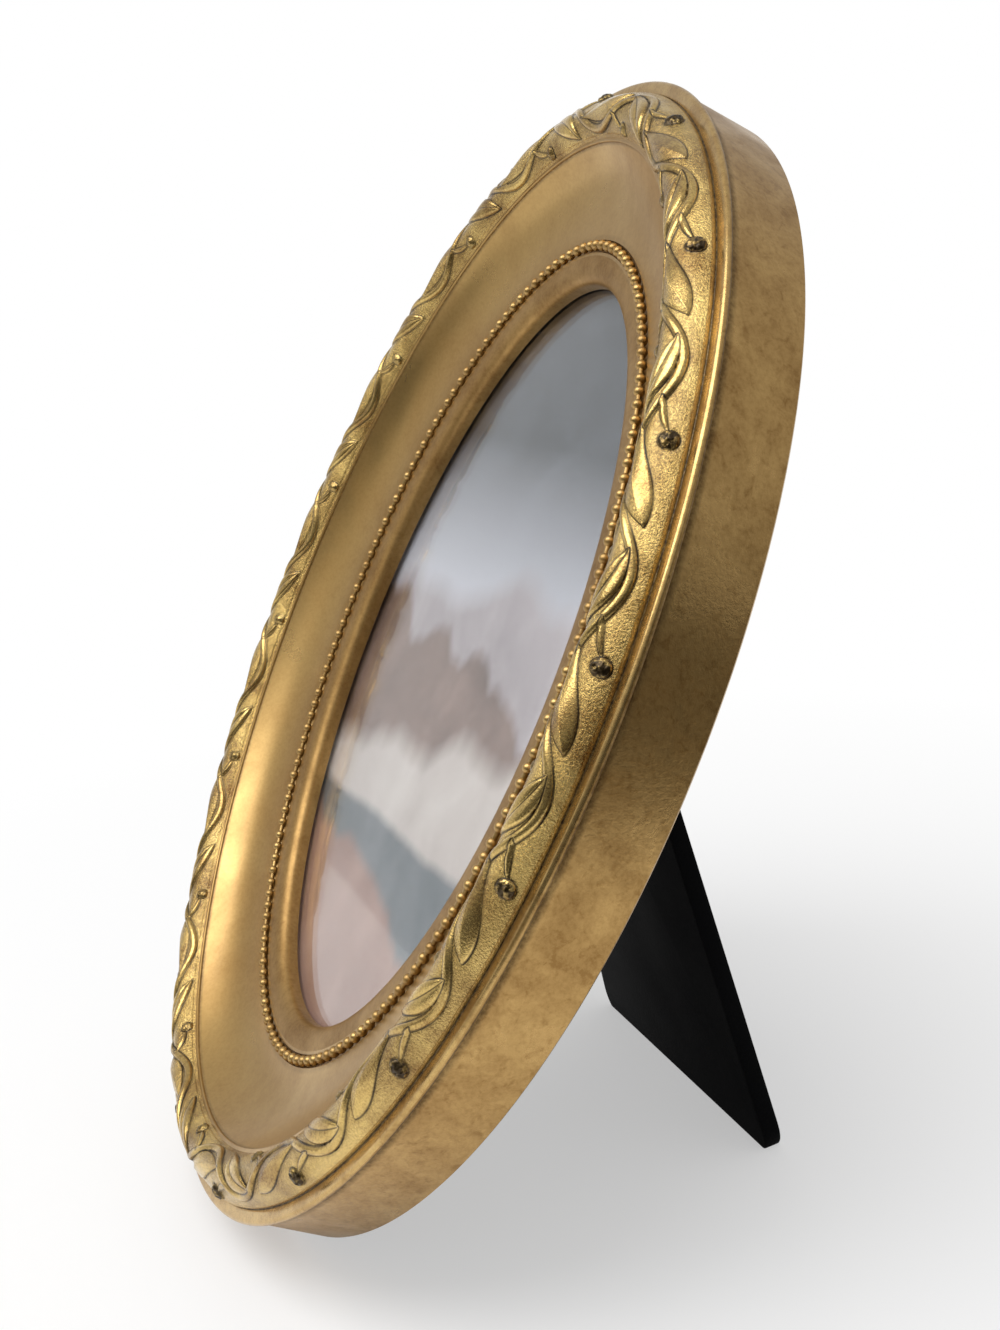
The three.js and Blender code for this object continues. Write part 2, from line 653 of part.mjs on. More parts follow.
// The hanging ring's strap is folded round the ring and screwed to the moulding.
const strapRoll = RING_WIRE_RADIUS + HOLE_CLEARANCE + STRAP_THICKNESS;

function hangerStrap() {
  const half = STRAP_WIDTH / 2;
  const outline = new THREE.Shape();
  outline.moveTo(-half, 0);
  outline.lineTo(-half, half - STRAP_LENGTH);
  outline.absarc(0, half - STRAP_LENGTH, half, Math.PI, 2 * Math.PI, false);
  outline.lineTo(half, 0);
  outline.closePath();
  punch(outline, 0, -STRAP_SCREW_DISTANCE, SCREW_RADIUS + HOLE_CLEARANCE);
  const sheet = plate(outline, STRAP_THICKNESS, strapRoll - STRAP_THICKNESS);
  const roll = solid(rodAlongX(strapRoll, STRAP_WIDTH));
  const bore = solid(rodAlongX(RING_WIRE_RADIUS + HOLE_CLEARANCE, 2 * STRAP_WIDTH));
  return geometryOf(solid(sheet).add(roll).subtract(bore));
}

// The ring: a straight bar through the strap, closed by a rounded triangle of wire
function hangingRing() {
  const reach = RING_WIDTH / 2 - RING_WIRE_RADIUS;
  const bar = STRAP_WIDTH / 2 + HOLE_CLEARANCE;
  const right = [
    new THREE.Vector3(bar / 2, 0, 0),
    new THREE.Vector3(bar, 0, 0),
    new THREE.Vector3(reach, 0, -0.16 * RING_DROP),
    new THREE.Vector3(0.8 * reach, 0, -0.55 * RING_DROP),
    new THREE.Vector3(0.45 * reach, 0, -0.9 * RING_DROP),
  ];
  const left = right.map((p) => new THREE.Vector3(-p.x, 0, p.z)).reverse();
  const route = [new THREE.Vector3(0, 0, 0), ...right, new THREE.Vector3(0, 0, -RING_DROP), ...left];
  const line = new THREE.CatmullRomCurve3(route, true);
  const wire = new THREE.TorusGeometry(1, RING_WIRE_RADIUS, WIRE_SIDES, RING_STATIONS);
  const position = wire.getAttribute('position');
  const across = new THREE.Vector3(0, 1, 0);
  for (let i = 0; i < position.count; i += 1) {
    const share = ((i % (RING_STATIONS + 1)) % RING_STATIONS) / RING_STATIONS;
    const turn = (2 * Math.PI * Math.floor(i / (RING_STATIONS + 1))) / WIRE_SIDES;
    const outward = line.getTangentAt(share).cross(across).normalize();
    const place = line.getPointAt(share);
    place.addScaledVector(outward, RING_WIRE_RADIUS * Math.cos(turn));
    place.addScaledVector(across, RING_WIRE_RADIUS * Math.sin(turn));
    position.setXYZ(i, place.x, place.y, place.z);
  }
  return wire;
}

function backBoard() {
  let body = solid(ovalPlate(plateInset, BOARD_THICKNESS, BOARD_RECESS));
  for (const side of [-1, 1]) {
    const x = (side * RIVET_SPACING) / 2;
    const z = HINGE_HEIGHT + BACK_RIVET_DISTANCE;
    const hole = drill(rivetHole, -2 * boardFront, boardFront);
    const sink = drill(RIVET_HEAD_RADIUS + HOLE_CLEARANCE, -2 * boardFront, COUNTERBORE_DEPTH - boardFront);
    body = body.subtract(solid(hole.translate(x, 0, z)));
    body = body.subtract(solid(sink.translate(x, 0, z)));
  }
  return geometryOf(body);
}

// The assembly is put together flat in the moulding's own plane, then leant back onto its strut.
const assembly = new THREE.Group();
const frame = new THREE.Group();
assembly.add(frame);

addPiece(frame, 'frame_moulding', frameMoulding(), gold);
addPiece(frame, 'vine_garland', vineGarland(), brightGold);
addPiece(frame, 'bead_string', beadString(), brightGold);
addPiece(frame, 'glass_pane', ovalPlate(plateInset, GLASS_THICKNESS, glassBack), glass);
addPiece(frame, 'photo_print', ovalPlate(plateInset, PRINT_THICKNESS, printBack), photoPaper);
addPiece(frame, 'filler_card', ovalPlate(plateInset, CARD_THICKNESS, cardBack), greyCard);
addPiece(frame, 'back_board', backBoard(), blackBoard);

BUTTON_ANGLES.forEach((degrees, i) => {
  const place = backPlace(frame, degrees, buttonInset);
  addPiece(place, `turn_button_${i + 1}`, turnButton(), nickel);
  addPiece(place, `turn_button_screw_${i + 1}`, panScrew(BUTTON_THICKNESS), nickel);
});

const hinge = placedGroup(frame, 0, hingeAxis, HINGE_HEIGHT);
addPiece(hinge, 'hinge_back_leaf', backLeaf(), nickel);
addPiece(hinge, 'hinge_pin', rodAlongX(PIN_RADIUS, HINGE_WIDTH + 2 * PIN_END), nickel);

const strutSwing = new THREE.Group();
strutSwing.rotation.x = openAngle;
hinge.add(strutSwing);
addPiece(strutSwing, 'hinge_strut_leaf', strutLeaf(), nickel);
addPiece(strutSwing, 'strut', strutBoard(), blackBoard);

const backRivetNear = COUNTERBORE_DEPTH - CONTACT_GAP - boardFront;
const backRivetFar = 2 * CONTACT_GAP + LEAF_PLATE_THICKNESS - BOARD_RECESS;
const strutRivetNear = STRUT_PLATE_OFFSET - CONTACT_GAP;
const strutRivetFar = strutFace + STRUT_THICKNESS + CONTACT_GAP;
[-1, 1].forEach((side, i) => {
  const x = (side * RIVET_SPACING) / 2;
  const backSpot = placedGroup(frame, x, 0, HINGE_HEIGHT + BACK_RIVET_DISTANCE);
  const backRivet = rivet(-backRivetFar, -backRivetNear, COUNTERBORE_DEPTH - 2 * CONTACT_GAP);
  addPiece(backSpot, `hinge_back_rivet_${i + 1}`, backRivet.rotateX(Math.PI), nickel);
  const strutSpot = placedGroup(strutSwing, x, 0, -STRUT_RIVET_DISTANCE);
  const strutRivet = rivet(strutRivetNear, strutRivetFar, RIVET_HEAD_HEIGHT);
  addPiece(strutSpot, `hinge_strut_rivet_${i + 1}`, strutRivet, nickel);
});

const hanger = backPlace(frame, 0, HANGER_INSET);
const strapScrew = placedGroup(hanger, 0, 0, -STRAP_SCREW_DISTANCE);
addPiece(strapScrew, 'hanger_screw', panScrew(STRAP_THICKNESS), brassPlate);
const strapFold = placedGroup(hanger, 0, CONTACT_GAP + strapRoll, 0);
addPiece(strapFold, 'hanger_strap', hangerStrap(), brassPlate);
const ringSwing = new THREE.Group();
ringSwing.rotation.x = lean;
strapFold.add(ringSwing);
addPiece(ringSwing, 'hanger_ring', hangingRing(), brassPlate);

// The origin is on the table under the middle of the whole object.
frame.rotation.x = -lean;
const reach = new THREE.Box3().setFromObject(assembly, true);
const middle = reach.getCenter(new THREE.Vector3());
frame.position.set(-middle.x, -middle.y, -reach.min.z);

export default assembly;
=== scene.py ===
# Oval gilt picture frame with a vine moulding, glazed and standing on its easel strut.

import bisect
import json
import math

import bmesh
import bpy
from mathutils import Matrix, Vector


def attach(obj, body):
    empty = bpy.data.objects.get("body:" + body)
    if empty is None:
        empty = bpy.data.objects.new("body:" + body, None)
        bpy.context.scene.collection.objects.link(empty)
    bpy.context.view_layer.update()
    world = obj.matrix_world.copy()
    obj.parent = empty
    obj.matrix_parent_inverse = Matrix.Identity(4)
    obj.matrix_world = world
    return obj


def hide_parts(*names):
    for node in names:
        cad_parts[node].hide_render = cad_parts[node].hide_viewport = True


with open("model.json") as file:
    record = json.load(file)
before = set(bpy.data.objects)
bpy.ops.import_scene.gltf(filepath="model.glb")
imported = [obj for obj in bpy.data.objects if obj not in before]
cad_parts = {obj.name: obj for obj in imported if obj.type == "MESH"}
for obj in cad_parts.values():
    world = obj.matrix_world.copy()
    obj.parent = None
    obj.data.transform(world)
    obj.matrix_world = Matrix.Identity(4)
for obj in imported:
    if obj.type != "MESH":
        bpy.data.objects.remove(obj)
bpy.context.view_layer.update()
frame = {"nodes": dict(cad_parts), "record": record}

# The moulding: one ring of cast resin, gilded and toned with a brown wash. Its section runs from the flat
# side wall over a thin lip, a torus, a band and a wide cove to the bead channel and the round sight lip.
# Sizes are in millimetres: insets count from the side wall inwards, heights from the flat back.
MM = 0.001
FRAME_WIDTH = 164
FRAME_HEIGHT = 212
WALL_HEIGHT = 13.6
QUIRK_INSET = 0.05
QUIRK_RISE = 0.3
LIP_TOP = 15.4
LIP_WIDTH = 2
LIP_ARRIS = 0.72
LIP_OVERHANG = 0.6
LIP_UNDERCUT = 65
LIP_GROOVE_WIDTH = 0.3
LIP_GROOVE_DEPTH = 0.1
TORUS_INSET = 6.8
TORUS_HALF_WIDTH = 4.8
TORUS_FOOT = 15.9
TORUS_SINK = 0.15
TORUS_HEIGHT = 4.1
TORUS_FULLNESS = 0.2
TORUS_END = 145.75
TORUS_STEPS = 30
BAND_TOP = 17.4
BAND_END = 11.47
BAND_ARRIS = 0.2
BAND_WIDTH = 0.8
COVE_TOP = 16.9
COVE_END = 25.97
COVE_STEPS = 28
SEAT_HEIGHT = 10.2
BEAD_INSET = 27.72
BEAD_HEIGHT = 10.55
CHANNEL_RADIUS = 1.25
CHANNEL_DIP = 16.3
SIGHT_LIP_START = 29.47
SIGHT_INSET = 34.32
SIGHT_TOP = 7.8
SIGHT_STEPS = 12
RABBET_DEPTH = 6.4
RABBET_INSET = 30.72
BACK_ARRIS = 0.4
OVAL_STEPS = 320
SPUN_RADIUS = FRAME_HEIGHT / 2

back_face = next(mount for mount in frame["record"]["mounts"] if mount["name"] == "back_face")
CENTRE = Vector((0, back_face["pos_m"][1], back_face["pos_m"][2]))
ACROSS = Vector((1, 0, 0))
BACKWARD = Vector(back_face["axis"])
UPWARD = ACROSS.cross(BACKWARD)


def on_plane(across, rise, height):
    return CENTRE + (across * ACROSS + rise * UPWARD - height * BACKWARD) * MM


def on_oval(angle, inset, height):
    outward = Vector((FRAME_HEIGHT * math.sin(angle), FRAME_WIDTH * math.cos(angle))).normalized()
    across = FRAME_WIDTH / 2 * math.sin(angle) - inset * outward.x
    rise = FRAME_HEIGHT / 2 * math.cos(angle) - inset * outward.y
    return on_plane(across, rise, height)


def arc(inset, height, radius, start, end, steps):
    turns = [math.radians(start + (end - start) * i / steps) for i in range(steps + 1)]
    return [(inset - radius * math.cos(turn), height + radius * math.sin(turn)) for turn in turns]


def torus_point(degrees, lift):
    """A place on the low arch of the torus, counted from its outer foot over the crest."""
    turn = math.radians(degrees)
    bent = 1 - TORUS_FULLNESS
    rise = TORUS_FULLNESS * math.sin(turn) + bent * math.sin(turn) ** 2
    steepness = math.cos(turn) * (TORUS_FULLNESS + 2 * bent * math.sin(turn))
    outward = Vector((-TORUS_HEIGHT * steepness, TORUS_HALF_WIDTH * math.sin(turn))).normalized()
    inset = TORUS_INSET - TORUS_HALF_WIDTH * math.cos(turn) + lift * outward.x
    return inset, TORUS_FOOT + TORUS_HEIGHT * rise + lift * outward.y


def moulding_section():
    section = [(0, BACK_ARRIS), (0, WALL_HEIGHT - 1), (0, WALL_HEIGHT)]
    section += [(QUIRK_INSET, WALL_HEIGHT + QUIRK_RISE)]
    section += arc(LIP_ARRIS - LIP_OVERHANG, LIP_TOP - LIP_ARRIS, LIP_ARRIS, -LIP_UNDERCUT, 90, 10)
    section += [(LIP_WIDTH - LIP_GROOVE_WIDTH, LIP_TOP)]
    section += [(LIP_WIDTH - LIP_GROOVE_DEPTH, LIP_TOP - LIP_GROOVE_DEPTH)]
    section += [(LIP_WIDTH, LIP_TOP), (LIP_WIDTH, TORUS_FOOT - TORUS_SINK)]
    section += [torus_point(TORUS_END * i / TORUS_STEPS, 0) for i in range(TORUS_STEPS + 1)]
    section += arc(BAND_END - BAND_ARRIS, BAND_TOP - BAND_ARRIS, BAND_ARRIS, 90, 180, 3)
    drop = COVE_TOP - SEAT_HEIGHT
    hollow = ((COVE_END - BAND_END) ** 2 + drop ** 2) / (2 * drop)
    for i in range(COVE_STEPS + 1):
        turn = math.asin((COVE_END - BAND_END) / hollow) * (1 - i / COVE_STEPS)
        section.append((COVE_END - hollow * math.sin(turn), SEAT_HEIGHT + hollow * (1 - math.cos(turn))))
    section += arc(BEAD_INSET, BEAD_HEIGHT, CHANNEL_RADIUS, -CHANNEL_DIP, CHANNEL_DIP - 180, 10)
    for i in range(SIGHT_STEPS + 1):
        share = i / SIGHT_STEPS
        inset = SIGHT_INSET - (SIGHT_INSET - SIGHT_LIP_START) * (1 - share) ** 2
        section.append((inset, SEAT_HEIGHT - (SEAT_HEIGHT - SIGHT_TOP) * share ** 2))
    section += [(SIGHT_INSET, RABBET_DEPTH), (RABBET_INSET, RABBET_DEPTH)]
    return section + [(RABBET_INSET, 0), (BACK_ARRIS, 0)]


def spun_on_oval(section, zone, wash_and_shade):
    """A closed section spun to a ring and bent to the oval, with the finish of its faces and its dark wash,
    also painted shade.
    """
    ring = bmesh.new()
    recess = ring.verts.layers.float.new("recess")
    corners = [ring.verts.new((SPUN_RADIUS - inset, 0, height)) for inset, height in section]
    for corner, following in zip(corners, corners[1:] + corners[:1]):
        ring.edges.new((corner, following))
    bmesh.ops.spin(ring, geom=ring.verts[:] + ring.edges[:], cent=(0, 0, 0), axis=(0, 0, 1),
                   angle=2 * math.pi, steps=OVAL_STEPS, use_merge=True)
    for face in ring.faces:
        middle = face.calc_center_median()
        face.material_index = zone(SPUN_RADIUS - middle.xy.length, middle.z)
    for corner in ring.verts:
        inset = SPUN_RADIUS - corner.co.xy.length
        corner[recess] = wash_and_shade(inset, corner.co.z)
        corner.co = on_oval(math.atan2(corner.co.y, corner.co.x), inset, corner.co.z)
    return ring


def put_in_scene(name, data):
    thing = bpy.data.objects.new(name, data)
    bpy.context.scene.collection.objects.link(thing)
    return thing


def finished_piece(name, mesh_builder, materials, body, nodes, crease=35):
    mesh = bpy.data.meshes.new(name)
    bmesh.ops.recalc_face_normals(mesh_builder, faces=mesh_builder.faces)
    if mesh_builder.calc_volume(signed=True) < 0:
        bmesh.ops.reverse_faces(mesh_builder, faces=mesh_builder.faces)
    mesh_builder.to_mesh(mesh)
    mesh_builder.free()
    mesh.shade_smooth()
    mesh.set_sharp_from_angle(angle=math.radians(crease))
    for material in materials:
        mesh.materials.append(material)
    piece = put_in_scene(name, mesh)
    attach(piece, body)
    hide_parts(*nodes)


def paint(red, green, blue):
    parts = [channel / 255 for channel in (red, green, blue)]
    return (*[((c + 0.055) / 1.055) ** 2.4 if c > 0.04 else c / 12.92 for c in parts], 1)


def wire(tree, node, inputs):
    """Set a node's inputs to plain values, or link them to what another node puts out."""
    for name, value in inputs.items():
        if isinstance(value, bpy.types.NodeSocket):
            tree.links.new(value, node.inputs[name])
        else:
            node.inputs[name].default_value = value


def add_node(tree, kind, inputs=None, **settings):
    made = tree.nodes.new("ShaderNode" + kind)
    for setting, value in settings.items():
        setattr(made, setting, value)
    wire(tree, made, inputs or {})
    return made


def mixed(tree, factor, first, second):
    return add_node(tree, "Mix", {0: factor, 6: first, 7: second}, data_type="RGBA").outputs[2]


def ranged(tree, value, low, high, to_low, to_high):
    limits = {"From Min": low, "From Max": high, "To Min": to_low, "To Max": to_high}
    return add_node(tree, "MapRange", {"Value": value, **limits}).outputs["Result"]


def masks(tree, operation, first, second):
    """Arithmetic that stays between 0 and 1."""
    return add_node(tree, "Math", {0: first, 1: second}, operation=operation, use_clamp=True).outputs[0]


def both(tree, first, second):
    return masks(tree, "MULTIPLY", first, second)


def either(tree, first, second):
    return masks(tree, "MAXIMUM", first, second)


def noise(tree, place, scale, detail, roughness=0.5, distortion=0.0):
    return add_node(tree, "TexNoise", {
        "Vector": place, "Scale": scale, "Detail": detail, "Roughness": roughness,
        "Distortion": distortion}).outputs[0]


def object_place(tree):
    return add_node(tree, "TexCoord").outputs["Object"]


def raised(tree, strength, distance, height):
    return add_node(tree, "Bump", {"Strength": strength, "Distance": distance, "Height": height}).outputs[0]


def new_group(name, inputs, outputs):
    group = bpy.data.node_groups.new(name, "ShaderNodeTree")
    for side, sockets in (("INPUT", inputs), ("OUTPUT", outputs)):
        for kind, names in sockets.items():
            for socket_name in names:
                group.interface.new_socket(socket_name, in_out=side, socket_type="NodeSocket" + kind)
    return group, group.nodes.new("NodeGroupInput").outputs, group.nodes.new("NodeGroupOutput")


def new_finish(name):
    material = bpy.data.materials.new(name)
    material.use_nodes = True
    return material, material.node_tree, material.node_tree.nodes["Principled BSDF"]


# Gilding shared by every gold surface: leaf that goes from gold to a darker shade in random patches, flecks
# and a fine grain, with dark wash left in the recesses, which also paints the shade that falls in them.
DARK_WASH_AND_SHADE = paint(40, 27, 12)
FLECK_SCALE = 430
VARNISH_ROUGHNESS = 0.24
GILDING_RELIEF = 0.0004
gilding, given, gilded = new_group(
    "gilding",
    {"Color": ("Gold", "Shade", "Wash And Shade"),
     "Float": ("Patch Scale", "Grain Scale", "Grain", "Satin", "Flecks", "Recess")},
    {"Color": ("Color",), "Float": ("Roughness", "Height")},
)
leaf_place = object_place(gilding)
patches = noise(gilding, leaf_place, given["Patch Scale"], 6, 0.65, 0.4)
grain = noise(gilding, leaf_place, given["Grain Scale"], 3, 0.7)
flecks = noise(gilding, leaf_place, FLECK_SCALE, 5, 0.62, 0.6)
patch_mask = ranged(gilding, patches, 0.38, 0.72, 0, 0.8)
grain_mask = both(gilding, ranged(gilding, grain, 0.42, 0.66, 0, 1), given["Grain"])
fleck_mask = both(gilding, ranged(gilding, flecks, 0.53, 0.68, 0, 1), given["Flecks"])
shading = masks(gilding, "ADD", masks(gilding, "ADD", patch_mask, grain_mask), fleck_mask)
tone = mixed(gilding, shading, given["Gold"], given["Shade"])
# The recess value brings in the dark wash, which also stands as painted shade in the hollows.
broken = both(gilding, given["Recess"], ranged(gilding, grain, 0.25, 0.6, 0.55, 1.1))
dulled = masks(gilding, "ADD", given["Satin"], ranged(gilding, patches, 0.35, 0.7, -0.05, 0.12))
wire(gilding, gilded, {
    "Color": mixed(gilding, broken, tone, given["Wash And Shade"]),
    "Roughness": masks(gilding, "ADD", dulled, ranged(gilding, broken, 0, 1, 0, 0.3)),
    "Height": grain})


def gilt(name, gold, shade, patch_scale, satin, flecks, grain_scale=1300, grain=0.3, bump=0.05, varnish=0.3,
         metallic=0.9):
    material, tree, shader = new_finish(name)
    finish = add_node(tree, "Group", {
        "Gold": paint(*gold), "Shade": paint(*shade), "Wash And Shade": DARK_WASH_AND_SHADE, "Patch Scale": patch_scale,
        "Grain Scale": grain_scale, "Grain": grain, "Satin": satin, "Flecks": flecks,
        "Recess": add_node(tree, "Attribute", attribute_name="recess").outputs["Fac"]},
        node_tree=gilding).outputs
    wire(tree, shader, {
        "Metallic": metallic, "Coat Weight": varnish, "Coat Roughness": VARNISH_ROUGHNESS,
        "Base Color": finish["Color"], "Roughness": finish["Roughness"],
        "Normal": raised(tree, bump, GILDING_RELIEF, finish["Height"])})
    return material


STIPPLED = {"patch_scale": 80, "satin": 0.16, "flecks": 0, "grain_scale": 2800, "grain": 0.38, "bump": 0.52}
wall_gilt = gilt("wall_gilt", (197, 160, 100), (154, 117, 64), patch_scale=95, satin=0.31, flecks=0.46,
                 bump=0.12, varnish=0.1)
lip_gilt = gilt("lip_gilt", (214, 179, 112), (158, 120, 66), patch_scale=110, satin=0.24, flecks=0.15)
ground_gilt = gilt("ground_gilt", (229, 195, 119), (120, 82, 35), **STIPPLED)
cove_gilt = gilt("cove_gilt", (194, 158, 95), (164, 127, 70), patch_scale=45, satin=0.32, flecks=0.12,
                 grain_scale=1400, grain=0.25, varnish=0.42)
back_gilt = gilt("back_gilt", (96, 74, 42), (62, 46, 26), patch_scale=50, satin=0.6, flecks=0.3,
                 grain_scale=700, grain=0.4, bump=0.2, varnish=0, metallic=0.4)
# The sight lip's gilding is darker than the lip's: painted shade along the sight.
painted_shade_sight_gilt = gilt("painted_shade_sight_gilt", (178, 142, 86), (134, 100, 54), patch_scale=80, satin=0.42, flecks=0.2,
                  varnish=0.1)
MOULDING_FINISHES = [wall_gilt, lip_gilt, ground_gilt, cove_gilt, back_gilt, painted_shade_sight_gilt]
WALL, LIP, GROUND, COVE, BACK, SIGHT = range(len(MOULDING_FINISHES))
# Dark wash in the moulding's hollows, which also paints their shade: a painted shadow under the lip's
# overhang, and painted shade in the groove behind the lip, where the band meets the cove and in the bead
# channel.
QUIRK_WASH_AND_SHADE = 0.55
LIP_GROOVE_WASH_AND_SHADE = 0.9
BAND_WASH_AND_SHADE = 0.5
CHANNEL_WASH_AND_SHADE = 0.14


def moulding_zone(inset, height):
    if height < RABBET_DEPTH and inset > BACK_ARRIS:
        return BACK
    if inset < BACK_ARRIS and height < LIP_TOP - 0.5:
        return WALL
    if inset > SIGHT_LIP_START:
        return SIGHT
    if inset < LIP_WIDTH:
        return LIP
    if inset < BAND_END - BAND_WIDTH:
        return GROUND
    return COVE


# Where the dark wash and the painted shade lie in the section.
def moulding_wash_and_shade(inset, height):
    if inset < 0.2 and WALL_HEIGHT < height < LIP_TOP - 0.8:
        return QUIRK_WASH_AND_SHADE
    if LIP_WIDTH - 0.2 < inset < LIP_WIDTH + 0.1 and height < LIP_TOP + 0.1:
        return LIP_GROOVE_WASH_AND_SHADE
    if BAND_END - 0.1 < inset < BAND_END + 0.1 and height < BAND_TOP - 0.3:
        return BAND_WASH_AND_SHADE
    if COVE_END < inset < SIGHT_LIP_START and height < SEAT_HEIGHT:
        return CHANNEL_WASH_AND_SHADE
    return 0


moulding_ring = spun_on_oval(moulding_section(), moulding_zone, moulding_wash_and_shade)
finished_piece("gilt_moulding", moulding_ring, MOULDING_FINISHES, "frame", ["frame_moulding"])

# The vine garland: a pressed strip of composition glued over the torus and gilded with it. A waving stem
# throws off a roof-shaped almond leaf and a pitted bud outwards, and a two-lobed leaf and a bud inwards.
VINE_REPEATS = 17
VINE_START = 17.4
VINE_MIDDLE = 86
VINE_SWING = 40.5
VINE_SPREAD = 4.2
STRIP_START = 2
STRIP_END = 144
STRIP_STEPS = 58
STRIP_EDGE_STEPS = 3
STRIP_SINK = 0.25
REPEAT_STEPS = 96
GROUND_LIFT = 0.1
STEM_HALF_WIDTH = 0.62
STEM_RISE = 0.5
GROOVE_DEPTH = 0.18
GROOVE_WIDTH = 0.26
# Dark wash in the grooves round the vine's forms, also painted shade there.
GROOVE_WASH_AND_SHADE = 0.45
SWELL_POWER = 0.85
BUD_PITS = 5


def oval_lengths(inset, height, steps):
    """Angles round the oval, and how far along the line each of them lies."""
    angles = [2 * math.pi * i / steps for i in range(steps + 1)]
    points = [on_oval(angle, inset, height) for angle in angles]
    lengths = [0.0]
    for here, following in zip(points, points[1:]):
        lengths.append(lengths[-1] + (following - here).length / MM)
    return angles, lengths


crest_angles, crest_lengths = oval_lengths(TORUS_INSET, 0, steps=2880)
VINE_PITCH = crest_lengths[-1] / VINE_REPEATS
WAVES = 2 * math.pi / VINE_PITCH


def crest_angle(along):
    along %= crest_lengths[-1]
    i = min(bisect.bisect_right(crest_lengths, along), len(crest_lengths) - 1)
    before, after = crest_lengths[i - 1], crest_lengths[i]
    share = (along - before) / (after - before)
    return crest_angles[i - 1] + share * (crest_angles[i] - crest_angles[i - 1])


def girth(degrees):
    return math.radians(degrees) * VINE_SPREAD


def stem_line(along):
    return girth(VINE_MIDDLE - VINE_SWING * math.cos(WAVES * along))


def smooth_step(value):
    value = max(0.0, min(1.0, value))
    return value * value * (3 - 2 * value)


class Shoot:
    """A leaf or stalk that leaves the stem at one place and ends at another, bowed sideways."""

    def __init__(self, start, end, degrees, bow, half_width, belly, rise, lobes=1):
        self.start = Vector((start, stem_line(start)))
        self.reach = Vector((end, girth(degrees))) - self.start
        self.bow = bow
        self.half_width = half_width
        self.belly = belly
        self.rise = rise
        self.lobes = lobes

    def carve(self, along, across):
        """How far a place is outside the outline, how high the shoot stands there, and its wash: none."""
        offset = Vector((along, across)) - self.start
        length = self.reach.length
        share = offset.dot(self.reach) / length ** 2
        side = self.reach.cross(offset) / length
        inner = max(0.0, min(1.0, share))
        side -= self.bow * math.sin(math.pi * inner)
        overrun = abs(share - inner) * length
        swell = math.sin(math.pi * inner ** self.belly) ** SWELL_POWER
        width = max(self.half_width * swell, 0.02)
        outside = abs(side) - width
        if overrun or outside > 0:
            outside = math.hypot(overrun, max(outside, 0))
        place = min(abs(side) / width, 1)
        if self.lobes == 2:
            shape = 0.35 + 0.65 * math.sqrt(max(0.0, 1 - (2 * place - 1) ** 2))
        else:
            shape = 0.25 + 0.75 * (1 - place)
        return outside, self.rise * shape * (0.55 + 0.45 * swell), 0


class Bud:
    """A round bud with pits pressed into it, dark with wash."""

    def __init__(self, along, degrees, radius, rise, wash_and_shade):
        self.centre = Vector((along, girth(degrees)))
        self.radius = radius
        self.rise = rise
        self.wash_and_shade = wash_and_shade

    def carve(self, along, across):
        offset = Vector((along, across)) - self.centre
        share = offset.length / self.radius
        dome = math.sqrt(max(0.0, 1 - min(share, 1) ** 2))
        pits = 0.5 + 0.5 * math.cos(BUD_PITS * math.atan2(offset.y, offset.x))
        pitted = 1 - 0.6 * pits * math.exp(-((share - 0.5) / 0.2) ** 2)
        wash_and_shade = self.wash_and_shade * smooth_step((0.98 - share) / 0.25)
        return (share - 1) * self.radius, self.rise * dome * pitted, wash_and_shade


almond_leaf = Shoot(start=9.5, end=24.9, degrees=48, bow=1.1, half_width=2.05, belly=1.45, rise=0.62)
lobed_leaf = Shoot(start=-4.2, end=7.7, degrees=133, bow=-0.7, half_width=1.8, belly=1.0, rise=0.5, lobes=2)
outer_stalk = Shoot(start=5.5, end=11.4, degrees=46, bow=0.35, half_width=0.42, belly=0.8, rise=0.4)
inner_stalk = Shoot(start=-9.5, end=-4.6, degrees=124, bow=0.4, half_width=0.42, belly=0.8, rise=0.35)
VINE_SHOOTS = [almond_leaf, lobed_leaf, outer_stalk, inner_stalk]
outer_bud = Bud(along=12.2, degrees=43, radius=1.35, rise=0.85, wash_and_shade=0.9)
inner_bud = Bud(along=-4, degrees=127, radius=1.05, rise=0.6, wash_and_shade=0.4)
VINE_BUDS = [outer_bud, inner_bud]


def vine_relief(along, across):
    """Height over the torus, and dark wash with painted shade in the grooves round its forms, at a place of
    one repeat.
    """
    slope = girth(VINE_SWING) * math.sin(WAVES * along) * WAVES
    stem_gap = abs(across - stem_line(along)) / math.hypot(1, slope) - STEM_HALF_WIDTH
    inside = max(0.0, 1 - (1 + stem_gap / STEM_HALF_WIDTH) ** 2)
    forms = [(stem_gap, STEM_RISE * math.sqrt(inside), 0)]
    for turn in (-VINE_PITCH, 0, VINE_PITCH):
        forms += [form.carve(along + turn, across) for form in VINE_SHOOTS + VINE_BUDS]
    height = GROUND_LIFT
    wash_and_shade = 0.0
    carved = 0.0
    for outside, rise, dark in forms:
        cover = smooth_step((0.1 - outside) / 0.25)
        groove = math.exp(-(max(outside, 0) / GROOVE_WIDTH) ** 2)
        if carved < 0.5:
            height = min(height, GROUND_LIFT - GROOVE_DEPTH * groove)
        height = max(height, cover * (GROUND_LIFT + rise))
        wash_and_shade = max(wash_and_shade * (1 - cover), groove * (1 - cover), dark * cover)
        carved = max(carved, cover)
    return height, GROOVE_WASH_AND_SHADE * wash_and_shade


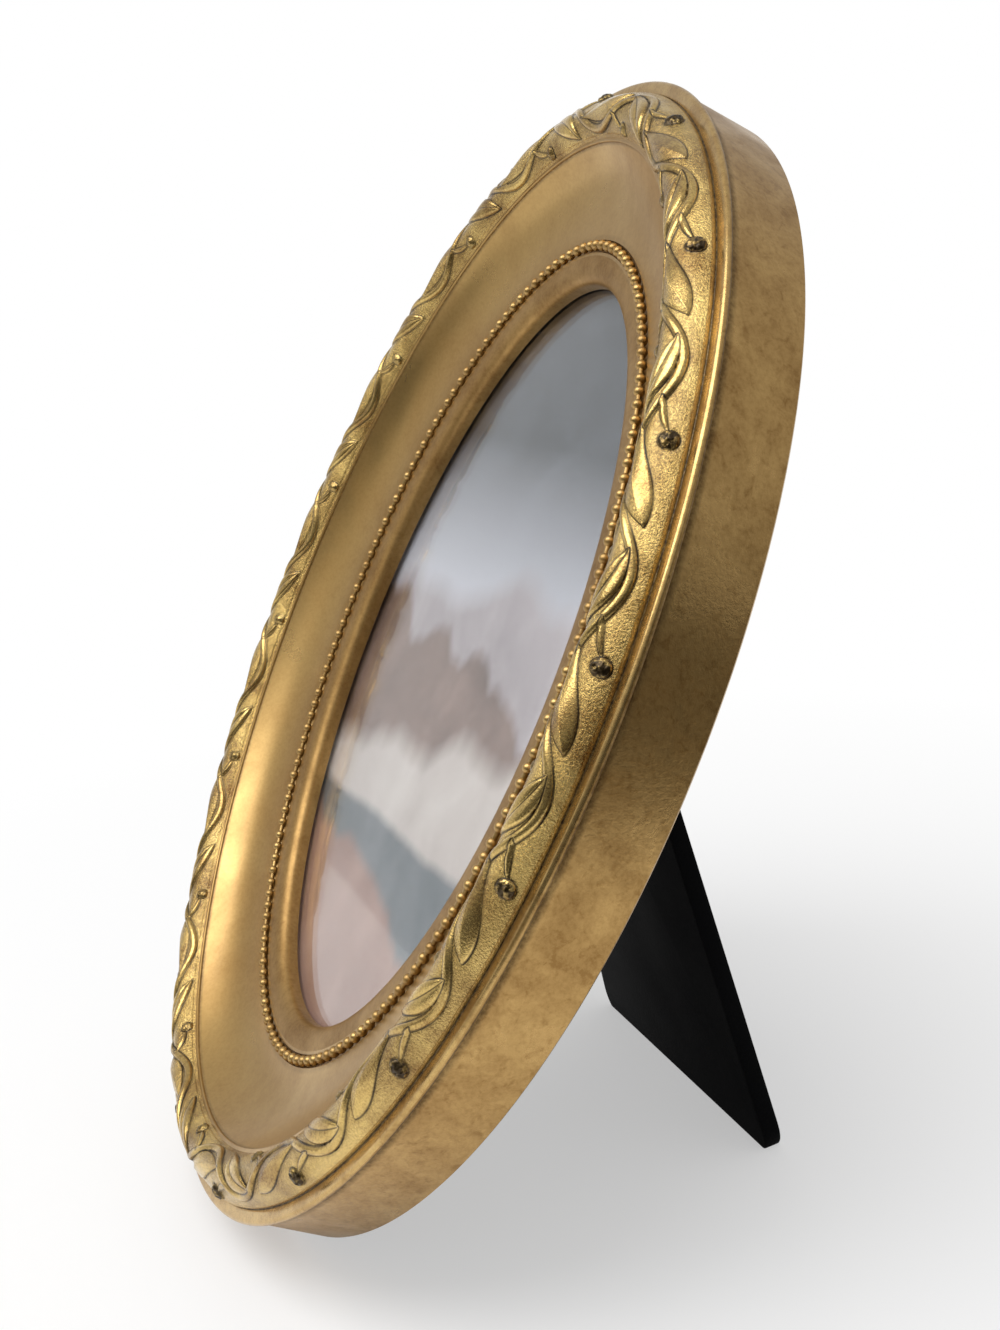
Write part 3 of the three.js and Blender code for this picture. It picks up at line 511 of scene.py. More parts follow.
def vine_strip():
    strip = bmesh.new()
    recess = strip.verts.layers.float.new("recess")
    strip.loops.layers.uv.new("vine_layout")
    bmesh.ops.create_grid(strip, x_segments=VINE_REPEATS * REPEAT_STEPS, y_segments=STRIP_STEPS, size=0.5,
                          calc_uvs=True)
    known = {}
    for corner in strip.verts:
        station = round((corner.co.x + 0.5) * VINE_REPEATS * REPEAT_STEPS)
        row = round((corner.co.y + 0.5) * STRIP_STEPS)
        degrees = STRIP_START + (STRIP_END - STRIP_START) * row / STRIP_STEPS
        key = (station % REPEAT_STEPS, row)
        if key not in known:
            known[key] = vine_relief(VINE_PITCH * key[0] / REPEAT_STEPS, girth(degrees))
        height, corner[recess] = known[key]
        fade = smooth_step(min(row, STRIP_STEPS - row) / STRIP_EDGE_STEPS)
        angle = crest_angle(VINE_START + VINE_PITCH * station / REPEAT_STEPS)
        corner.co = on_oval(angle, *torus_point(degrees, fade * height - (1 - fade) * STRIP_SINK))
    bmesh.ops.remove_doubles(strip, verts=strip.verts, dist=1e-6)
    rims = [edge for edge in strip.edges if edge.is_boundary]
    bmesh.ops.bridge_loops(strip, edges=rims)
    return strip


def reckon(tree, operation, first, second=0.0, third=0.0):
    return add_node(tree, "Math", {0: first, 1: second, 2: third}, operation=operation).outputs[0]


def times(tree, first, second):
    return reckon(tree, "MULTIPLY", first, second)


def minus(tree, first, second):
    return reckon(tree, "SUBTRACT", first, second)


# The incised outlines: how far a place is from a shoot's edge, reckoned in the flat layout in millimetres.
edging, given, edge_found = new_group(
    "shoot_edge",
    {"Float": ("Along", "Across", "Start Along", "Start Across", "Heading Along", "Heading Across", "Length",
               "Bow", "Half Width", "Belly")},
    {"Float": ("Outside", "Side")},
)
halfway = times(edging, times(edging, given["Heading Along"], given["Length"]), 0.5)
ahead = reckon(edging, "WRAP", minus(edging, given["Along"], given["Start Along"]),
               reckon(edging, "ADD", halfway, VINE_PITCH / 2), minus(edging, halfway, VINE_PITCH / 2))
aside = minus(edging, given["Across"], given["Start Across"])
forward = reckon(edging, "MULTIPLY_ADD", ahead, given["Heading Along"],
                 times(edging, aside, given["Heading Across"]))
side = minus(edging, times(edging, aside, given["Heading Along"]),
             times(edging, ahead, given["Heading Across"]))
share = masks(edging, "DIVIDE", forward, given["Length"])
bend = reckon(edging, "SINE", times(edging, share, math.pi))
side = minus(edging, side, times(edging, bend, given["Bow"]))
overrun = minus(edging, forward, times(edging, share, given["Length"]))
swell = times(edging, reckon(edging, "POWER", share, given["Belly"]), math.pi)
swell = reckon(edging, "POWER", reckon(edging, "SINE", swell), SWELL_POWER)
beyond = minus(edging, reckon(edging, "ABSOLUTE", side), times(edging, swell, given["Half Width"]))
wire(edging, edge_found, {
    "Outside": reckon(edging, "ADD", beyond, reckon(edging, "ABSOLUTE", overrun)), "Side": side})

# The vine's finish: the layout's place in millimetres gives the edges of the stem, the shoots and the buds.
# Dark wash stands in the lines along them and in the buds, and paints the shade in those incised lines; small
# gold spots left in the buds' wash are painted glints. Lines and buds are thinner on the left. Leaves are
# smoother than the ground between them.
LINE_WIDTH = 0.16
LINE_OFFSET = 0.05
LEFT_END = -0.075
LEFT_FADE = -0.03
vine_gilt = gilt("vine_gilt", (233, 200, 122), (120, 82, 35), **STIPPLED)
vine = vine_gilt.node_tree
layout = add_node(vine, "SeparateXYZ", {0: add_node(vine, "UVMap", uv_map="vine_layout").outputs[0]}).outputs
along = times(vine, layout["X"], VINE_REPEATS * VINE_PITCH)
across = reckon(vine, "MULTIPLY_ADD", layout["Y"], girth(STRIP_END - STRIP_START), girth(STRIP_START))
phase = times(vine, along, WAVES)
wave = reckon(vine, "MULTIPLY_ADD", reckon(vine, "COSINE", phase), -girth(VINE_SWING), girth(VINE_MIDDLE))
steep = times(vine, reckon(vine, "SINE", phase), girth(VINE_SWING) * WAVES)
stretch = reckon(vine, "SQRT", reckon(vine, "MULTIPLY_ADD", steep, steep, 1.0))
stem_gap = reckon(vine, "DIVIDE", reckon(vine, "ABSOLUTE", minus(vine, across, wave)), stretch)
edges = [minus(vine, stem_gap, STEM_HALF_WIDTH)]
ribs = []
for shoot in VINE_SHOOTS:
    heading = shoot.reach.normalized()
    found = add_node(vine, "Group", {
        "Along": along, "Across": across, "Start Along": shoot.start.x, "Start Across": shoot.start.y,
        "Heading Along": heading.x, "Heading Across": heading.y, "Length": shoot.reach.length,
        "Bow": shoot.bow, "Half Width": shoot.half_width, "Belly": shoot.belly}, node_tree=edging)
    edges.append(found.outputs["Outside"])
    ribs.append(found.outputs["Side"])
almond_edge, lobed_edge = edges[1:3]
almond_rib, lobed_rib = ribs[:2]
bud_covers = []
for bud in VINE_BUDS:
    ahead = reckon(vine, "WRAP", minus(vine, along, bud.centre.x), VINE_PITCH / 2, -VINE_PITCH / 2)
    offset = add_node(vine, "CombineXYZ", {0: ahead, 1: minus(vine, across, bud.centre.y)}).outputs[0]
    reach = add_node(vine, "VectorMath", {0: offset}, operation="LENGTH").outputs["Value"]
    edges.append(minus(vine, reach, bud.radius))
    bud_covers.append(ranged(vine, reach, 1.12 * bud.radius, 0.95 * bud.radius, 0, bud.wash_and_shade))
vine_place = object_place(vine)
left_to_right = add_node(vine, "SeparateXYZ", {0: vine_place}).outputs["X"]
# The dark lines and the buds' dark wash fade to half strength towards the left side of the frame.
fainter_on_left = ranged(vine, left_to_right, LEFT_END, LEFT_FADE, 0.5, 1)
line_strength = both(vine, ranged(vine, noise(vine, vine_place, 190, 4), 0.38, 0.6, 0.55, 1), fainter_on_left)
outline = 0.0
carved = 0.0
for edge in edges:
    gap = reckon(vine, "ABSOLUTE", minus(vine, edge, LINE_OFFSET))
    line = both(vine, ranged(vine, gap, 0.03, LINE_WIDTH, 1, 0), line_strength)
    cover = ranged(vine, edge, -0.08, 0.02, 1, 0)
    outline = either(vine, both(vine, outline, masks(vine, "SUBTRACT", 1.0, cover)), line)
    carved = either(vine, carved, cover)
seam = ranged(vine, reckon(vine, "ABSOLUTE", lobed_rib), 0.03, 0.13, 0.7, 0)
outline = either(vine, outline, both(vine, seam, ranged(vine, lobed_edge, -0.3, -0.1, 1, 0)))
# Small gold spots left in the buds' dark wash are painted glints.
bud_wash_with_glints = both(vine, ranged(vine, noise(vine, vine_place, 900, 2), 0.48, 0.6, 1, 0.1), fainter_on_left)
for cover in bud_covers:
    outline = either(vine, outline, both(vine, cover, bud_wash_with_glints))
grainy_half = both(vine, ranged(vine, almond_edge, -0.08, 0.02, 1, 0),
                   ranged(vine, almond_rib, -0.1, 0.1, 0, 0.8))
smooth_share = masks(vine, "SUBTRACT", times(vine, carved, 0.75), grainy_half)
vine_finish = next(node for node in vine.nodes if node.type == "GROUP" and node.node_tree == gilding)
stipple = times(vine, vine_finish.outputs["Height"], masks(vine, "SUBTRACT", 1.0, smooth_share))
vine_bump = next(node for node in vine.nodes if node.type == "BUMP")
wire(vine, vine_bump, {"Height": minus(vine, stipple, times(vine, outline, 0.5))})
# The lines take the dark wash, which paints the shade in the incised lines.
washed_and_shaded = mixed(vine, outline, vine_finish.outputs["Color"], DARK_WASH_AND_SHADE)
wire(vine, vine.nodes["Principled BSDF"], {"Base Color": washed_and_shaded})
finished_piece("vine_strip", vine_strip(), [vine_gilt], "frame", ["vine_garland"], 60)

# The pearls: a string of small round beads on a core, pressed in one length, laid in the channel round the
# sight and gilded, with a little dark wash left between them, on the core and the beads' lower halves, where
# it also paints the shade.
BEAD_RADIUS = 1
BEAD_PITCH = 2.62
BEAD_WASH_AND_SHADE = 0.15
CORE_RADIUS = 0.45
CORE_STEPS = 10
bead_angles, bead_lengths = oval_lengths(BEAD_INSET, BEAD_HEIGHT, steps=1440)
BEAD_COUNT = round(bead_lengths[-1] / BEAD_PITCH)


def bead_string():
    core = arc(BEAD_INSET, BEAD_HEIGHT, CORE_RADIUS, 0, 360, CORE_STEPS)[:-1]
    string = spun_on_oval(core, lambda inset, height: 0, lambda inset, height: BEAD_WASH_AND_SHADE)
    recess = string.verts.layers.float["recess"]
    for i in range(BEAD_COUNT):
        station = bisect.bisect_left(bead_lengths, bead_lengths[-1] * i / BEAD_COUNT)
        centre = on_oval(bead_angles[station], BEAD_INSET, BEAD_HEIGHT)
        ball = bmesh.ops.create_uvsphere(
            string, u_segments=10, v_segments=6, radius=BEAD_RADIUS * MM, matrix=Matrix.Translation(centre))
        for corner in ball["verts"]:
            # Each bead's lower half takes the dark wash, painted shade beneath it.
            lift = (centre - corner.co).dot(BACKWARD) / (BEAD_RADIUS * MM)
            corner[recess] = BEAD_WASH_AND_SHADE * smooth_step((0.1 - lift) / 0.8)
    return string


bead_gilt = gilt("bead_gilt", (194, 160, 98), (156, 120, 66), patch_scale=80, satin=0.36, flecks=0.1,
                 grain_scale=1500)
finished_piece("bead_string_fine", bead_string(), [bead_gilt], "frame", ["bead_string"], 180)

# The glass: a thin oval of float glass, clear, with a faint film on it. It lies loose in the rabbet against
# the back of the sight lip, and lets the light through to the print.
pane_glass, glazing, pane = new_finish("pane_glass")
film = noise(glazing, object_place(glazing), 40, 4)
wire(glazing, pane, {
    "Base Color": (0.97, 0.985, 0.98, 1), "Transmission Weight": 1, "IOR": 1.5,
    "Roughness": ranged(glazing, film, 0.35, 0.75, 0.03, 0.05)})
lit_through = add_node(glazing, "MixShader", {
    0: add_node(glazing, "LightPath").outputs["Is Shadow Ray"], 1: pane.outputs[0],
    2: add_node(glazing, "BsdfTransparent").outputs[0]})
wire(glazing, glazing.nodes["Material Output"], {"Surface": lit_through.outputs[0]})


def finish_node(node_name, material):
    slots = frame["nodes"][node_name].data.materials
    slots.clear()
    slots.append(material)


finish_node("glass_pane", pane_glass)

# The print: a lustre photographic sheet cut to the oval, pressed against the glass. It carries a plain misty
# hill view in soft greys, lilac and rose.
print_paper, photo, sheet = new_finish("print_paper")
lean = math.atan2(-BACKWARD.z, BACKWARD.y)
flat = add_node(photo, "Mapping", {
    "Vector": object_place(photo), "Location": CENTRE, "Rotation": (-lean, 0, 0)},
    vector_type="TEXTURE").outputs[0]
sides = add_node(photo, "SeparateXYZ", {0: flat}).outputs
cloud = noise(photo, flat, 34, 6, 0.58, 0.8)


def ridge(behind, level, tilt, rough, soft, seed, dark, light):
    """One ridge of the view laid over what stands behind it; sizes in metres from the middle."""
    line = add_node(photo, "CombineXYZ", {0: sides["X"], 1: seed}).outputs[0]
    skyline = ranged(photo, noise(photo, line, 46, 4, 0.45), 0.2, 0.8, -rough, rough)
    top = reckon(photo, "ADD", reckon(photo, "MULTIPLY_ADD", sides["X"], tilt, level), skyline)
    share = ranged(photo, minus(photo, top, sides["Z"]), -soft, soft, 0, 1)
    tint = mixed(photo, ranged(photo, cloud, 0.36, 0.68, 0, 1), paint(*dark), paint(*light))
    return mixed(photo, share, behind, tint)


cloudy = ranged(photo, cloud, 0.42, 0.72, 0, 0.6)
sky = mixed(photo, cloudy, paint(56, 60, 66), paint(98, 102, 110))
mist = ranged(photo, sides["Z"], 0.002, 0.042, 1, 0)
view = mixed(photo, mist, sky, paint(206, 206, 216))
view = ridge(view, level=0.014, tilt=0.1, rough=0.008, soft=0.003, seed=0.31,
             dark=(148, 140, 144), light=(172, 164, 168))
view = ridge(view, level=-0.001, tilt=-0.16, rough=0.008, soft=0.0016, seed=0.47,
             dark=(96, 78, 72), light=(140, 118, 110))
view = ridge(view, level=-0.017, tilt=0.12, rough=0.006, soft=0.003, seed=0.55,
             dark=(182, 172, 168), light=(200, 192, 188))
view = ridge(view, level=-0.034, tilt=0.02, rough=0.002, soft=0.0012, seed=0.62,
             dark=(86, 94, 100), light=(118, 122, 128))
view = ridge(view, level=-0.046, tilt=-0.18, rough=0.006, soft=0.0014, seed=0.75,
             dark=(140, 108, 98), light=(168, 138, 128))
wire(photo, sheet, {
    "Specular IOR Level": 0.3, "Base Color": view, "Roughness": ranged(photo, cloud, 0.3, 0.7, 0.4, 0.5)})
finish_node("photo_print", print_paper)

# The filler card: a sheet of grey pulp card behind the print. It only lies in the rabbet and presses the
# print against the glass.
PAPER_RELIEF = 0.0002
pulp_card, card, pulp = new_finish("pulp_card")
card_place = object_place(card)
fibres = noise(card, card_place, 900, 5, 0.7, 1.5)
specks = add_node(card, "TexVoronoi", {"Vector": card_place, "Scale": 420}).outputs["Distance"]
card_tint = mixed(card, fibres, paint(170, 160, 142), paint(204, 194, 176))
wire(card, pulp, {
    "Specular IOR Level": 0.2,
    "Base Color": mixed(card, ranged(card, specks, 0.04, 0.12, 0.5, 0), card_tint, paint(96, 86, 72)),
    "Roughness": ranged(card, fibres, 0.3, 0.7, 0.82, 0.95),
    "Normal": raised(card, 0.3, PAPER_RELIEF, fibres)})
finish_node("filler_card", pulp_card)

# The back board: hard board covered in matte black paper, cut to the oval of the rabbet. It closes the
# back, flush with the moulding, and carries the strut's hinge.
board_paper, board, cover_paper = new_finish("board_paper")
board_place = object_place(board)
nap = noise(board, board_place, 1400, 4)
scuffs = noise(board, board_place, 40, 6)
worn = both(board, ranged(board, scuffs, 0.45, 0.8, 0.1, 1), nap)
wire(board, cover_paper, {
    "Specular IOR Level": 0.08,
    "Base Color": mixed(board, worn, paint(3, 3, 4), paint(20, 20, 23)),
    "Roughness": ranged(board, scuffs, 0.3, 0.7, 0.72, 0.9),
    "Normal": raised(board, 0.3, PAPER_RELIEF, nap)})
finish_node("back_board", board_paper)

# The turn buttons: four pear-shaped tabs stamped from nickelled steel sheet. Each turns on a slotted
# pan-head screw in the moulding, and its tip holds the back board in the rabbet.
BUTTON_ANGLES = (40, 140, 220, 320)
BUTTON_INSET = 21.72
BUTTON_RADIUS = 4
BUTTON_TIP_RADIUS = 2.6
BUTTON_REACH = 15
BUTTON_FRONT = 0.3
BUTTON_BACK = 1.3
SCREW_RADIUS = 1.4
SCREW_POINT_SHARE = 0.4
SCREW_HEAD_RADIUS = 2.8
SCREW_HEAD_HEIGHT = 1.2
SCREW_HEAD_ARRIS = 0.1
SCREW_HEAD_ROUNDING = 0.8
SCREW_TOP_MARGIN = 0.85
SCREW_LENGTH = 7
SLOT_HALF_WIDTH = 0.35
SLOT_DEPTH = 0.55
ROUND_STEPS = 28
PLATING_RELIEF = 0.0002
FRAME_AXES = (ACROSS, BACKWARD, UPWARD)


def plated(name, bright, dull, satin):
    material, tree, shader = new_finish(name)
    place = object_place(tree)
    tarnish = noise(tree, place, 150, 6, 0.65)
    wire(tree, shader, {
        "Metallic": 1,
        "Base Color": mixed(tree, ranged(tree, tarnish, 0.4, 0.7, 0, 1), paint(*bright), paint(*dull)),
        "Roughness": ranged(tree, tarnish, 0.35, 0.7, satin, satin + 0.18),
        "Normal": raised(tree, 0.08, PLATING_RELIEF, noise(tree, place, 2600, 2))})
    return material


def seated(builder, origin, axes=FRAME_AXES):
    """Carry a piece from millimetres at its own place to where it sits in the frame."""
    place = Matrix.Translation(origin) @ Matrix(axes).transposed().to_4x4() @ Matrix.Scale(MM, 4)
    bmesh.ops.transform(builder, matrix=place, verts=builder.verts)
    return builder


def pulled_out(builder, faces, way):
    """Extrude faces one way; what grows stays joined to what it grew from."""
    grown = bmesh.ops.extrude_face_region(builder, geom=faces)["geom"]
    moved = [part for part in grown if isinstance(part, bmesh.types.BMVert)]
    bmesh.ops.translate(builder, verts=moved, vec=way)


def stamped_plate(right_half, front, back, edge=0.15):
    """A plate cut from sheet, alike left and right: right corners with their radii, its edges softened."""
    left_end, *left_half = [(-x, z, radius) for x, z, radius in reversed(right_half)]
    corners = [*left_half, *right_half, left_end]
    plate = bmesh.new()
    outline = [plate.verts.new((x, front, z)) for x, z, radius in corners]
    plate.faces.new(outline)
    for corner, (x, z, radius) in zip(outline, corners):
        if radius:
            bmesh.ops.bevel(plate, geom=[corner], offset=radius, offset_type="OFFSET", affect="VERTICES",
                            segments=8, profile=0.5, material=-1)
    bmesh.ops.remove_doubles(plate, verts=plate.verts, dist=0.001)
    pulled_out(plate, plate.faces[:], (0, back - front, 0))
    bmesh.ops.recalc_face_normals(plate, faces=plate.faces)
    rims = [line for line in plate.edges if line.calc_face_angle() > 1]
    bmesh.ops.bevel(plate, geom=rims, offset=edge, offset_type="OFFSET", affect="EDGES", segments=2,
                    profile=0.5, material=-1)
    return plate


def turned(profile):
    """A round piece: its profile, radius and depth, turned about the depth axis."""
    piece = bmesh.new()
    corners = [piece.verts.new((radius, depth, 0)) for radius, depth in profile]
    lines = [piece.edges.new(pair) for pair in zip(corners, corners[1:])]
    bmesh.ops.spin(piece, geom=corners + lines, cent=(0, 0, 0), axis=(0, 1, 0), angle=2 * math.pi,
                   steps=ROUND_STEPS, use_merge=True)
    bmesh.ops.remove_doubles(piece, verts=piece.verts, dist=0.0001)
    return piece


def slotted_screw(seat):
    """A pan-head screw whose head lies on the given depth, with a slot cut into its flat top."""
    top = seat + SCREW_HEAD_HEIGHT
    profile = [(0, -SCREW_LENGTH), (SCREW_POINT_SHARE * SCREW_RADIUS, -SCREW_LENGTH)]
    profile += [(SCREW_RADIUS, SCREW_RADIUS - SCREW_LENGTH), (SCREW_RADIUS, seat)]
    profile += [(SCREW_HEAD_RADIUS - SCREW_HEAD_ARRIS, seat), (SCREW_HEAD_RADIUS, seat + SCREW_HEAD_ARRIS)]
    profile += arc(SCREW_HEAD_RADIUS - SCREW_HEAD_ROUNDING, top - SCREW_HEAD_ROUNDING, SCREW_HEAD_ROUNDING,
                   160, 100, 4)
    profile.append((SCREW_HEAD_RADIUS - SCREW_TOP_MARGIN, top))
    screw = turned(profile)
    bmesh.ops.contextual_create(screw, geom=[line for line in screw.edges if line.is_boundary])

    def flat_top():
        return [face for face in screw.faces if face.calc_center_median().y > top - 0.001]

    for side in (-SLOT_HALF_WIDTH, SLOT_HALF_WIDTH):
        tops = flat_top()
        around = {part for face in tops for part in (*face.edges, *face.verts)}
        bmesh.ops.bisect_plane(screw, geom=tops + list(around), plane_co=(side, 0, 0), plane_no=(1, 0, 0))
    slot = [face for face in flat_top() if abs(face.calc_center_median().x) < SLOT_HALF_WIDTH]
    pulled_out(screw, slot, (0, -SLOT_DEPTH, 0))
    bmesh.ops.delete(screw, geom=slot, context="FACES_KEEP_BOUNDARY")
    return screw


nickel_plating = plated("nickel_plating", (206, 203, 196), (158, 154, 146), 0.24)


def steel_piece(name, builder, body, node):
    finished_piece(name, builder, [nickel_plating], body, [node])


BUTTON_CORNERS = ((BUTTON_RADIUS, BUTTON_RADIUS, BUTTON_RADIUS),
                  (BUTTON_TIP_RADIUS, -BUTTON_REACH, BUTTON_TIP_RADIUS))
for number, degrees in enumerate(BUTTON_ANGLES, 1):
    angle = math.radians(degrees)
    seat = on_oval(angle, BUTTON_INSET, 0)
    outward = (on_oval(angle, BUTTON_INSET - 1, 0) - seat).normalized()
    axes = (BACKWARD.cross(outward), BACKWARD, outward)
    button = seated(stamped_plate(BUTTON_CORNERS, BUTTON_FRONT, BUTTON_BACK), seat, axes)
    steel_piece(f"stamped_button_{number}", button, f"button_{number}", f"turn_button_{number}")
    screw = seated(slotted_screw(BUTTON_BACK), seat, axes)
    steel_piece(f"button_screw_{number}", screw, "frame", f"turn_button_screw_{number}")

# The hinge: two leaves of nickelled steel sheet rolled round one pin. The upper leaf is riveted to the back
# board, the lower one to the strut, and its tongue comes down on the upper leaf and stops the strut.
HINGE_WIDTH = 40
MIDDLE_WIDTH = 15
KNUCKLE_GAP = 0.3
KNUCKLE_RADIUS = 1.9
KNUCKLE_BORE = 1.1
PIN_RADIUS = 0.8
PIN_END_RADIUS = 0.6
PIN_TAPER = 0.3
PIN_OVERHANG = 0.5
BACK_LEAF_LENGTH = 16
STRUT_LEAF_LENGTH = 18
LEAF_THICKNESS = 0.8
LEAF_OFFSET = 0.2
LEAF_CORNER = 1.5
STOP_WIDTH = 10
STOP_LENGTH = 7
OPEN_ANGLE = math.radians(40)


def pivot_of(joint_name):
    joints = frame["record"]["behaviour"]["joints"]
    return Vector(next(joint["pos_m"] for joint in joints if joint["name"] == joint_name))


HINGE = pivot_of("easel_fold")
STRUT_BACK = math.cos(OPEN_ANGLE) * BACKWARD + math.sin(OPEN_ANGLE) * UPWARD
STRUT_UP = math.cos(OPEN_ANGLE) * UPWARD - math.sin(OPEN_ANGLE) * BACKWARD
STRUT_AXES = (ACROSS, STRUT_BACK, STRUT_UP)


def rolled_tube(builder, outside, bore, start, end):
    upright = Matrix.Translation((start, 0, 0)) @ Matrix.Rotation(math.pi / 2, 4, "Y")
    rims = set()
    for radius in (outside, bore):
        rim = bmesh.ops.create_circle(builder, segments=ROUND_STEPS, radius=radius, matrix=upright)["verts"]
        rims |= {line for corner in rim for line in corner.link_edges}
    wall = bmesh.ops.bridge_loops(builder, edges=list(rims))["faces"]
    pulled_out(builder, wall, (end - start, 0, 0))


half = HINGE_WIDTH / 2
inner = MIDDLE_WIDTH / 2 + KNUCKLE_GAP
notch = KNUCKLE_RADIUS + KNUCKLE_GAP
BACK_LEAF_BACK = LEAF_THICKNESS - KNUCKLE_RADIUS
back_leaf = stamped_plate((
    (inner, notch, 0), (inner, 0, 0), (half, 0, 0), (half, BACK_LEAF_LENGTH, LEAF_CORNER)),
    -KNUCKLE_RADIUS, BACK_LEAF_BACK)
rolled_tube(back_leaf, KNUCKLE_RADIUS, KNUCKLE_BORE, -half, -inner)
rolled_tube(back_leaf, KNUCKLE_RADIUS, KNUCKLE_BORE, inner, half)
steel_piece("hinge_leaf_on_back", seated(back_leaf, HINGE), "frame", "hinge_back_leaf")

pin_end = half + PIN_OVERHANG
pin = turned([(0, -pin_end), (PIN_END_RADIUS, -pin_end), (PIN_RADIUS, PIN_TAPER - pin_end),
              (PIN_RADIUS, pin_end - PIN_TAPER), (PIN_END_RADIUS, pin_end), (0, pin_end)])
steel_piece("hinge_pin_rod", seated(pin, HINGE, (-BACKWARD, ACROSS, UPWARD)), "frame", "hinge_pin")

half_middle = MIDDLE_WIDTH / 2
half_stop = STOP_WIDTH / 2
strut_leaf = stamped_plate((
    (half, -STRUT_LEAF_LENGTH, LEAF_CORNER), (half, -notch, 0), (half_middle, -notch, 0),
    (half_middle, 0, 0)), LEAF_OFFSET, LEAF_OFFSET + LEAF_THICKNESS)
rolled_tube(strut_leaf, KNUCKLE_RADIUS, KNUCKLE_BORE, -half_middle, half_middle)
seated(strut_leaf, HINGE, STRUT_AXES)
tongue = stamped_plate(((half_stop, 0, 0), (half_stop, STOP_LENGTH, LEAF_CORNER)), -LEAF_THICKNESS, 0)
tongue_mesh = bpy.data.meshes.new("stop_tongue")
seated(tongue, HINGE).to_mesh(tongue_mesh)
tongue.free()
strut_leaf.from_mesh(tongue_mesh)
steel_piece("hinge_leaf_on_strut", strut_leaf, "easel", "hinge_strut_leaf")

# The strut: a flat board covered in matte black paper, wider at its foot, with round corners. Its foot is
# cut to stand flat on the table when the strut is open.
STRUT_TOP = 3.4
STRUT_LENGTH = 114
STRUT_HALF_TOP = 22
STRUT_HALF_FOOT = 36
STRUT_FRONT = 1.3
STRUT_BACK_FACE = 4.9
STRUT_TOP_CORNER = 1
STRUT_CORNER = 7
STRUT_EDGE = 0.35
strut_board = stamped_plate((
    (STRUT_HALF_TOP, -STRUT_TOP, STRUT_TOP_CORNER), (STRUT_HALF_FOOT, -STRUT_LENGTH, STRUT_CORNER)),
    STRUT_FRONT, STRUT_BACK_FACE, STRUT_EDGE)
seated(strut_board, HINGE, STRUT_AXES)
parts = strut_board.verts[:] + strut_board.edges[:] + strut_board.faces[:]
bmesh.ops.bisect_plane(strut_board, geom=parts, plane_co=(0, 0, 0), plane_no=(0, 0, -1), clear_outer=True)
foot_rim = [line for line in strut_board.edges if line.is_boundary]
bmesh.ops.contextual_create(strut_board, geom=foot_rim)
finished_piece("easel_board", strut_board, [board_paper], "easel", ["strut"])

# The rivets: four nickelled steel rivets with low round heads. Two hold the upper leaf to the back board and
# two go through the strut and its leaf.
RIVET_SPACING = 26
RIVET_RADIUS = 1.2
RIVET_HEAD_RADIUS = 2.2
RIVET_HEAD_HEIGHT = 0.9
BACK_RIVET_RISE = 10
BACK_RIVET_NEAR = -2.8
STRUT_RIVET_RISE = -12


def rivet(near, far):
    """A rivet along the depth axis, a low dome on the near and the far depth."""
    turns = [math.radians(degrees) for degrees in range(0, 91, 15)]
    dome = [(RIVET_HEAD_RADIUS * math.cos(turn), RIVET_HEAD_HEIGHT * math.sin(turn)) for turn in turns]
    profile = [(radius, near - rise) for radius, rise in reversed(dome)]
    profile += [(RIVET_RADIUS, near), (RIVET_RADIUS, far)]
    profile += [(radius, far + rise) for radius, rise in dome]
    return turned(profile)


for number, side in enumerate((-0.5, 0.5), 1):
    back_place = HINGE + (side * RIVET_SPACING * ACROSS + BACK_RIVET_RISE * UPWARD) * MM
    back_rivet = seated(rivet(BACK_RIVET_NEAR, BACK_LEAF_BACK), back_place)
    steel_piece(f"rivet_in_back_{number}", back_rivet, "frame", f"hinge_back_rivet_{number}")
    strut_place = HINGE + (side * RIVET_SPACING * ACROSS + STRUT_RIVET_RISE * STRUT_UP) * MM
    strut_rivet = seated(rivet(LEAF_OFFSET, STRUT_BACK_FACE), strut_place, STRUT_AXES)
    steel_piece(f"rivet_in_strut_{number}", strut_rivet, "easel", f"hinge_strut_rivet_{number}")

# The hanger: a strap of brass-plated sheet folded round a wire ring. One slotted screw holds the strap to the
# moulding at the top, and the ring hangs from it.
HANGER_RISE = 97
HANGER_DEPTH = 2.3
STRAP_WIDTH = 9
STRAP_LENGTH = 17
STRAP_THICKNESS = 0.8
STRAP_ROLL = 2
STRAP_BORE = 1.2
STRAP_SCREW_RISE = -12
STRAP_SCREW_SEAT = 1.1
RING_REACH = 6.35
RING_DROP = 12.6
RING_WIRE = 0.9
brass_plating = plated("brass_plating", (198, 168, 98), (150, 118, 62), 0.26)


def brass_piece(name, builder, body, node):
    finished_piece(name, builder, [brass_plating], body, [node])


half_strap = STRAP_WIDTH / 2
strap = stamped_plate(((half_strap, 0, 0), (half_strap, -STRAP_LENGTH, half_strap)),
                      -STRAP_ROLL, STRAP_THICKNESS - STRAP_ROLL)
rolled_tube(strap, STRAP_ROLL, STRAP_BORE, -half_strap, half_strap)
brass_piece("folded_strap", seated(strap, on_plane(0, HANGER_RISE, -HANGER_DEPTH)), "frame", "hanger_strap")
strap_screw = seated(slotted_screw(STRAP_SCREW_SEAT), on_plane(0, HANGER_RISE + STRAP_SCREW_RISE, 0))
brass_piece("strap_screw", strap_screw, "frame", "hanger_screw")

